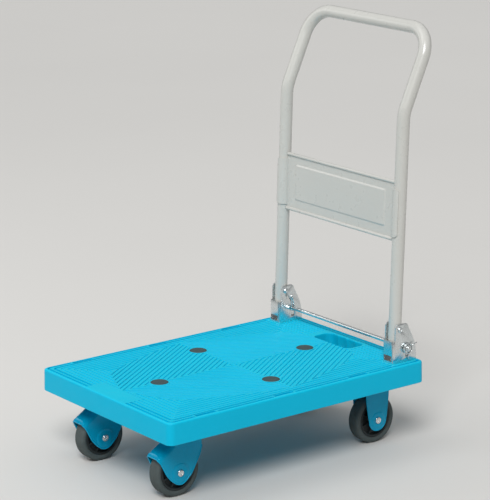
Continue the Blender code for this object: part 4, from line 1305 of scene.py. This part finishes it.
def add_tyre(bm, centre):
    """A tyre with a flat tread, round shoulders, a step on each wall and a faint mould line."""
    r = WHEEL_RADIUS
    wall = [(12.6, TYRE_SEAT + GAP), (13.6, 39.2), (14.4, 41.0), (14.6, 41.6), (15.0, 42.6), (15.0, 44.0)]
    shoulder = [(8.4 + a, 43.4 + b) for a, b in arc((0, 0), 6.6, 5, 88, 9)]
    half = wall + shoulder + [(4.0, r - 0.03), (0.35, r), (0.0, r + 0.12)]
    profile = [(-a, b) for a, b in half] + half[-2::-1]
    add_turned(bm, "Y", centre, profile, 96, solid=False)


def build_wheel(name):
    """Tyre, spoked centre and bush."""
    centre = middle(f"tyre_{name}")
    body = f"wheel_{name}"
    place(drawn(f"wheel_tyre_{name}", add_tyre, centre), body, "tyre_rubber", f"tyre_{name}")
    bore = BUSH_RADIUS + GAP
    profile = mirrored([(-17.0, bore), (-17.0, 12.0), (-16.3, 12.8), (-7.5, 14.5), (-5.2, 16.0),
                        (-5.0, 30.0), (-6.5, 32.0), (-12.0, 33.0), (-13.0, 34.0), (-13.0, 37.2),
                        (-12.4, 37.9)])
    core = turned(f"wheel_centre_{name}", centre, profile, 72, False)
    spokes = 8
    for k in range(spokes):
        turn = 2 * math.pi * (k + 0.5) / spokes
        out = Vector((math.cos(turn), 0, math.sin(turn)))
        across = Vector((-math.sin(turn), 0, math.cos(turn))) * 1.3
        loops = []
        for reach, half in ((13.0, 12.5), (33.0, 9.5)):
            spot = centre + out * reach
            up = Vector((0, half, 0))
            loops.append([spot - across - up, spot + across - up, spot + across + up, spot - across + up])
        join(core, add_loops, loops)
    place(core, body, "black_plastic", f"wheel_core_{name}")
    reach = FORK_INNER - GAP
    ring = mirrored([(-reach, AXLE_RADIUS + GAP), (-reach, BUSH_RADIUS - 0.5), (-reach + 0.5, BUSH_RADIUS)])
    bush = turned(f"bush_{name}", centre, ring, 32, False)
    place(bush, body, "bright_steel", f"wheel_bush_{name}")


def build_axle(name):
    """The axle, with a domed head outside and a low round collar inside."""
    centre = middle(f"tyre_{name}")
    side = name.split("_")[1]
    sign = -1 if side == "right" else 1
    body = f"swivel_{side}" if name.startswith("swivel") else "cart"
    leg = FORK_INNER + FORK_WALL + 0.95
    end = -sign * (leg + 3.2)
    shaft = [(end + sign * 2.6, 0.4), (end + sign * 2.4, 2.6), (end + sign * 0.3, 3.0), (end, 3.6),
             (end + sign * 0.3, 4.6), (end + sign * 0.8, 5.0), (sign * (leg + 0.2), 5.0)]
    axle = turned(f"axle_bolt_{name}", centre, shaft, 28)
    join(axle, add_domed_head, centre, sign * leg, 7.0, 2.6, sign)
    place(axle, body, "bright_steel", f"axle_{name}")
    nut = round_nut(f"axle_collar_{name}", centre, -sign * leg, -sign * (leg + 2.2), 5.1, 7.2, 6.2, 32)
    place(nut, body, "bright_steel", f"axle_nut_{name}", soften=0.25)


def build_casters():
    """All four wheels with their forks, axles, plates and bolts."""
    for name in WHEELS:
        build_fork(name)
        build_axle(name)
        build_wheel(name)
    for side, _ in SIDES:
        build_swivel_mount(side)
        for kind, node in (("swivel", f"kingpin_{side}"), ("fixed", f"tyre_fixed_{side}")):
            place(drawn(f"caster_bolts_{kind}_{side}", add_bolts, middle(node)), "cart", "zinc_plate")


# ---------------------------------------------------------------- studio

def build_floor():
    """A plain pale floor."""
    half = 30.0
    bm = bmesh.new()
    bm.faces.new([bm.verts.new((x * half, y * half, 0)) for x, y in ((-1, -1), (1, -1), (1, 1), (-1, 1))])
    floor = new_object("floor", bm)
    made = Finish("floor_paper", (0.66, 0.652, 0.632), 0.9, {"Specular IOR Level": 0.1})
    made.mottle(0.8, 2, 0.98, 1.0)
    made.bump(made.noise(120, 2), 0.1, 0.3)
    floor.data.materials.append(made.made)


def add_lamp(name, kind, power, look, **settings):
    """A lamp that looks along a direction."""
    data = bpy.data.lights.new(name, kind)
    data.energy = power
    for setting, value in settings.items():
        setattr(data, setting, value)
    lamp = bpy.data.objects.new(name, data)
    lamp.rotation_mode = "QUATERNION"
    lamp.rotation_quaternion = look.to_track_quat("-Z", "Y")
    bpy.context.scene.collection.objects.link(lamp)
    return lamp


def add_sky():
    """A neutral sky that brightens from the horizon to overhead, as a big soft ceiling does."""
    world = bpy.data.worlds.new("studio")
    world.use_nodes = True
    tree = world.node_tree
    where = add_node(tree, "TexCoord", {}).outputs["Generated"]
    height = add_node(tree, "SeparateXYZ", {"Vector": where}).outputs["Z"]
    ramp = add_node(tree, "ValToRGB", {"Fac": height})
    first, last = ramp.color_ramp.elements
    first.color, last.color = (0.10, 0.10, 0.10, 1.0), (0.62, 0.62, 0.62, 1.0)
    background = tree.nodes["Background"].inputs
    tree.links.new(ramp.outputs["Color"], background["Color"])
    background["Strength"].default_value = SKY
    bpy.context.scene.world = world


def build_light():
    """The sky, a broad and distant key light from above and in front, and square soft boxes."""
    add_sky()
    add_lamp("key", "SUN", KEY_POWER, -Vector(KEY_FROM), angle=math.radians(KEY_ANGLE))
    for name, place_at, power in SOFT_BOXES:
        look = SOFT_BOX_TARGET - Vector(place_at)
        add_lamp(name, "AREA", power, look, shape="SQUARE", size=1.2).location = place_at


def build_camera():
    """A long lens in front of the right-hand corner of the deck."""
    azimuth, elevation, roll = (math.radians(angle) for angle in CAMERA_TURN)
    back = Vector((math.sin(azimuth) * math.cos(elevation), -math.cos(azimuth) * math.cos(elevation),
                   math.sin(elevation)))
    right = Vector((math.cos(azimuth), math.sin(azimuth), 0))
    up = back.cross(right)
    turned = right * math.cos(roll) + up * math.sin(roll)
    upright = up * math.cos(roll) - right * math.sin(roll)
    data = bpy.data.cameras.new("camera")
    data.sensor_width = 36.0
    data.lens = CAMERA_LENS
    data.clip_start, data.clip_end = 0.1, 100.0
    camera = bpy.data.objects.new("camera", data)
    bpy.context.scene.collection.objects.link(camera)
    x, y, z = CAMERA_AT
    rotation = Matrix((turned, upright, back)).transposed().to_4x4()
    camera.matrix_world = Matrix.Translation((x + SHIFT, y, z)) @ rotation
    bpy.context.scene.camera = camera


for build in (build_deck, build_inserts, build_tube, build_panel, build_brackets, build_pivots, build_screws,
              build_lock, build_casters, build_floor, build_light, build_camera):
    build()
bpy.context.scene.view_settings.view_transform = "Standard"
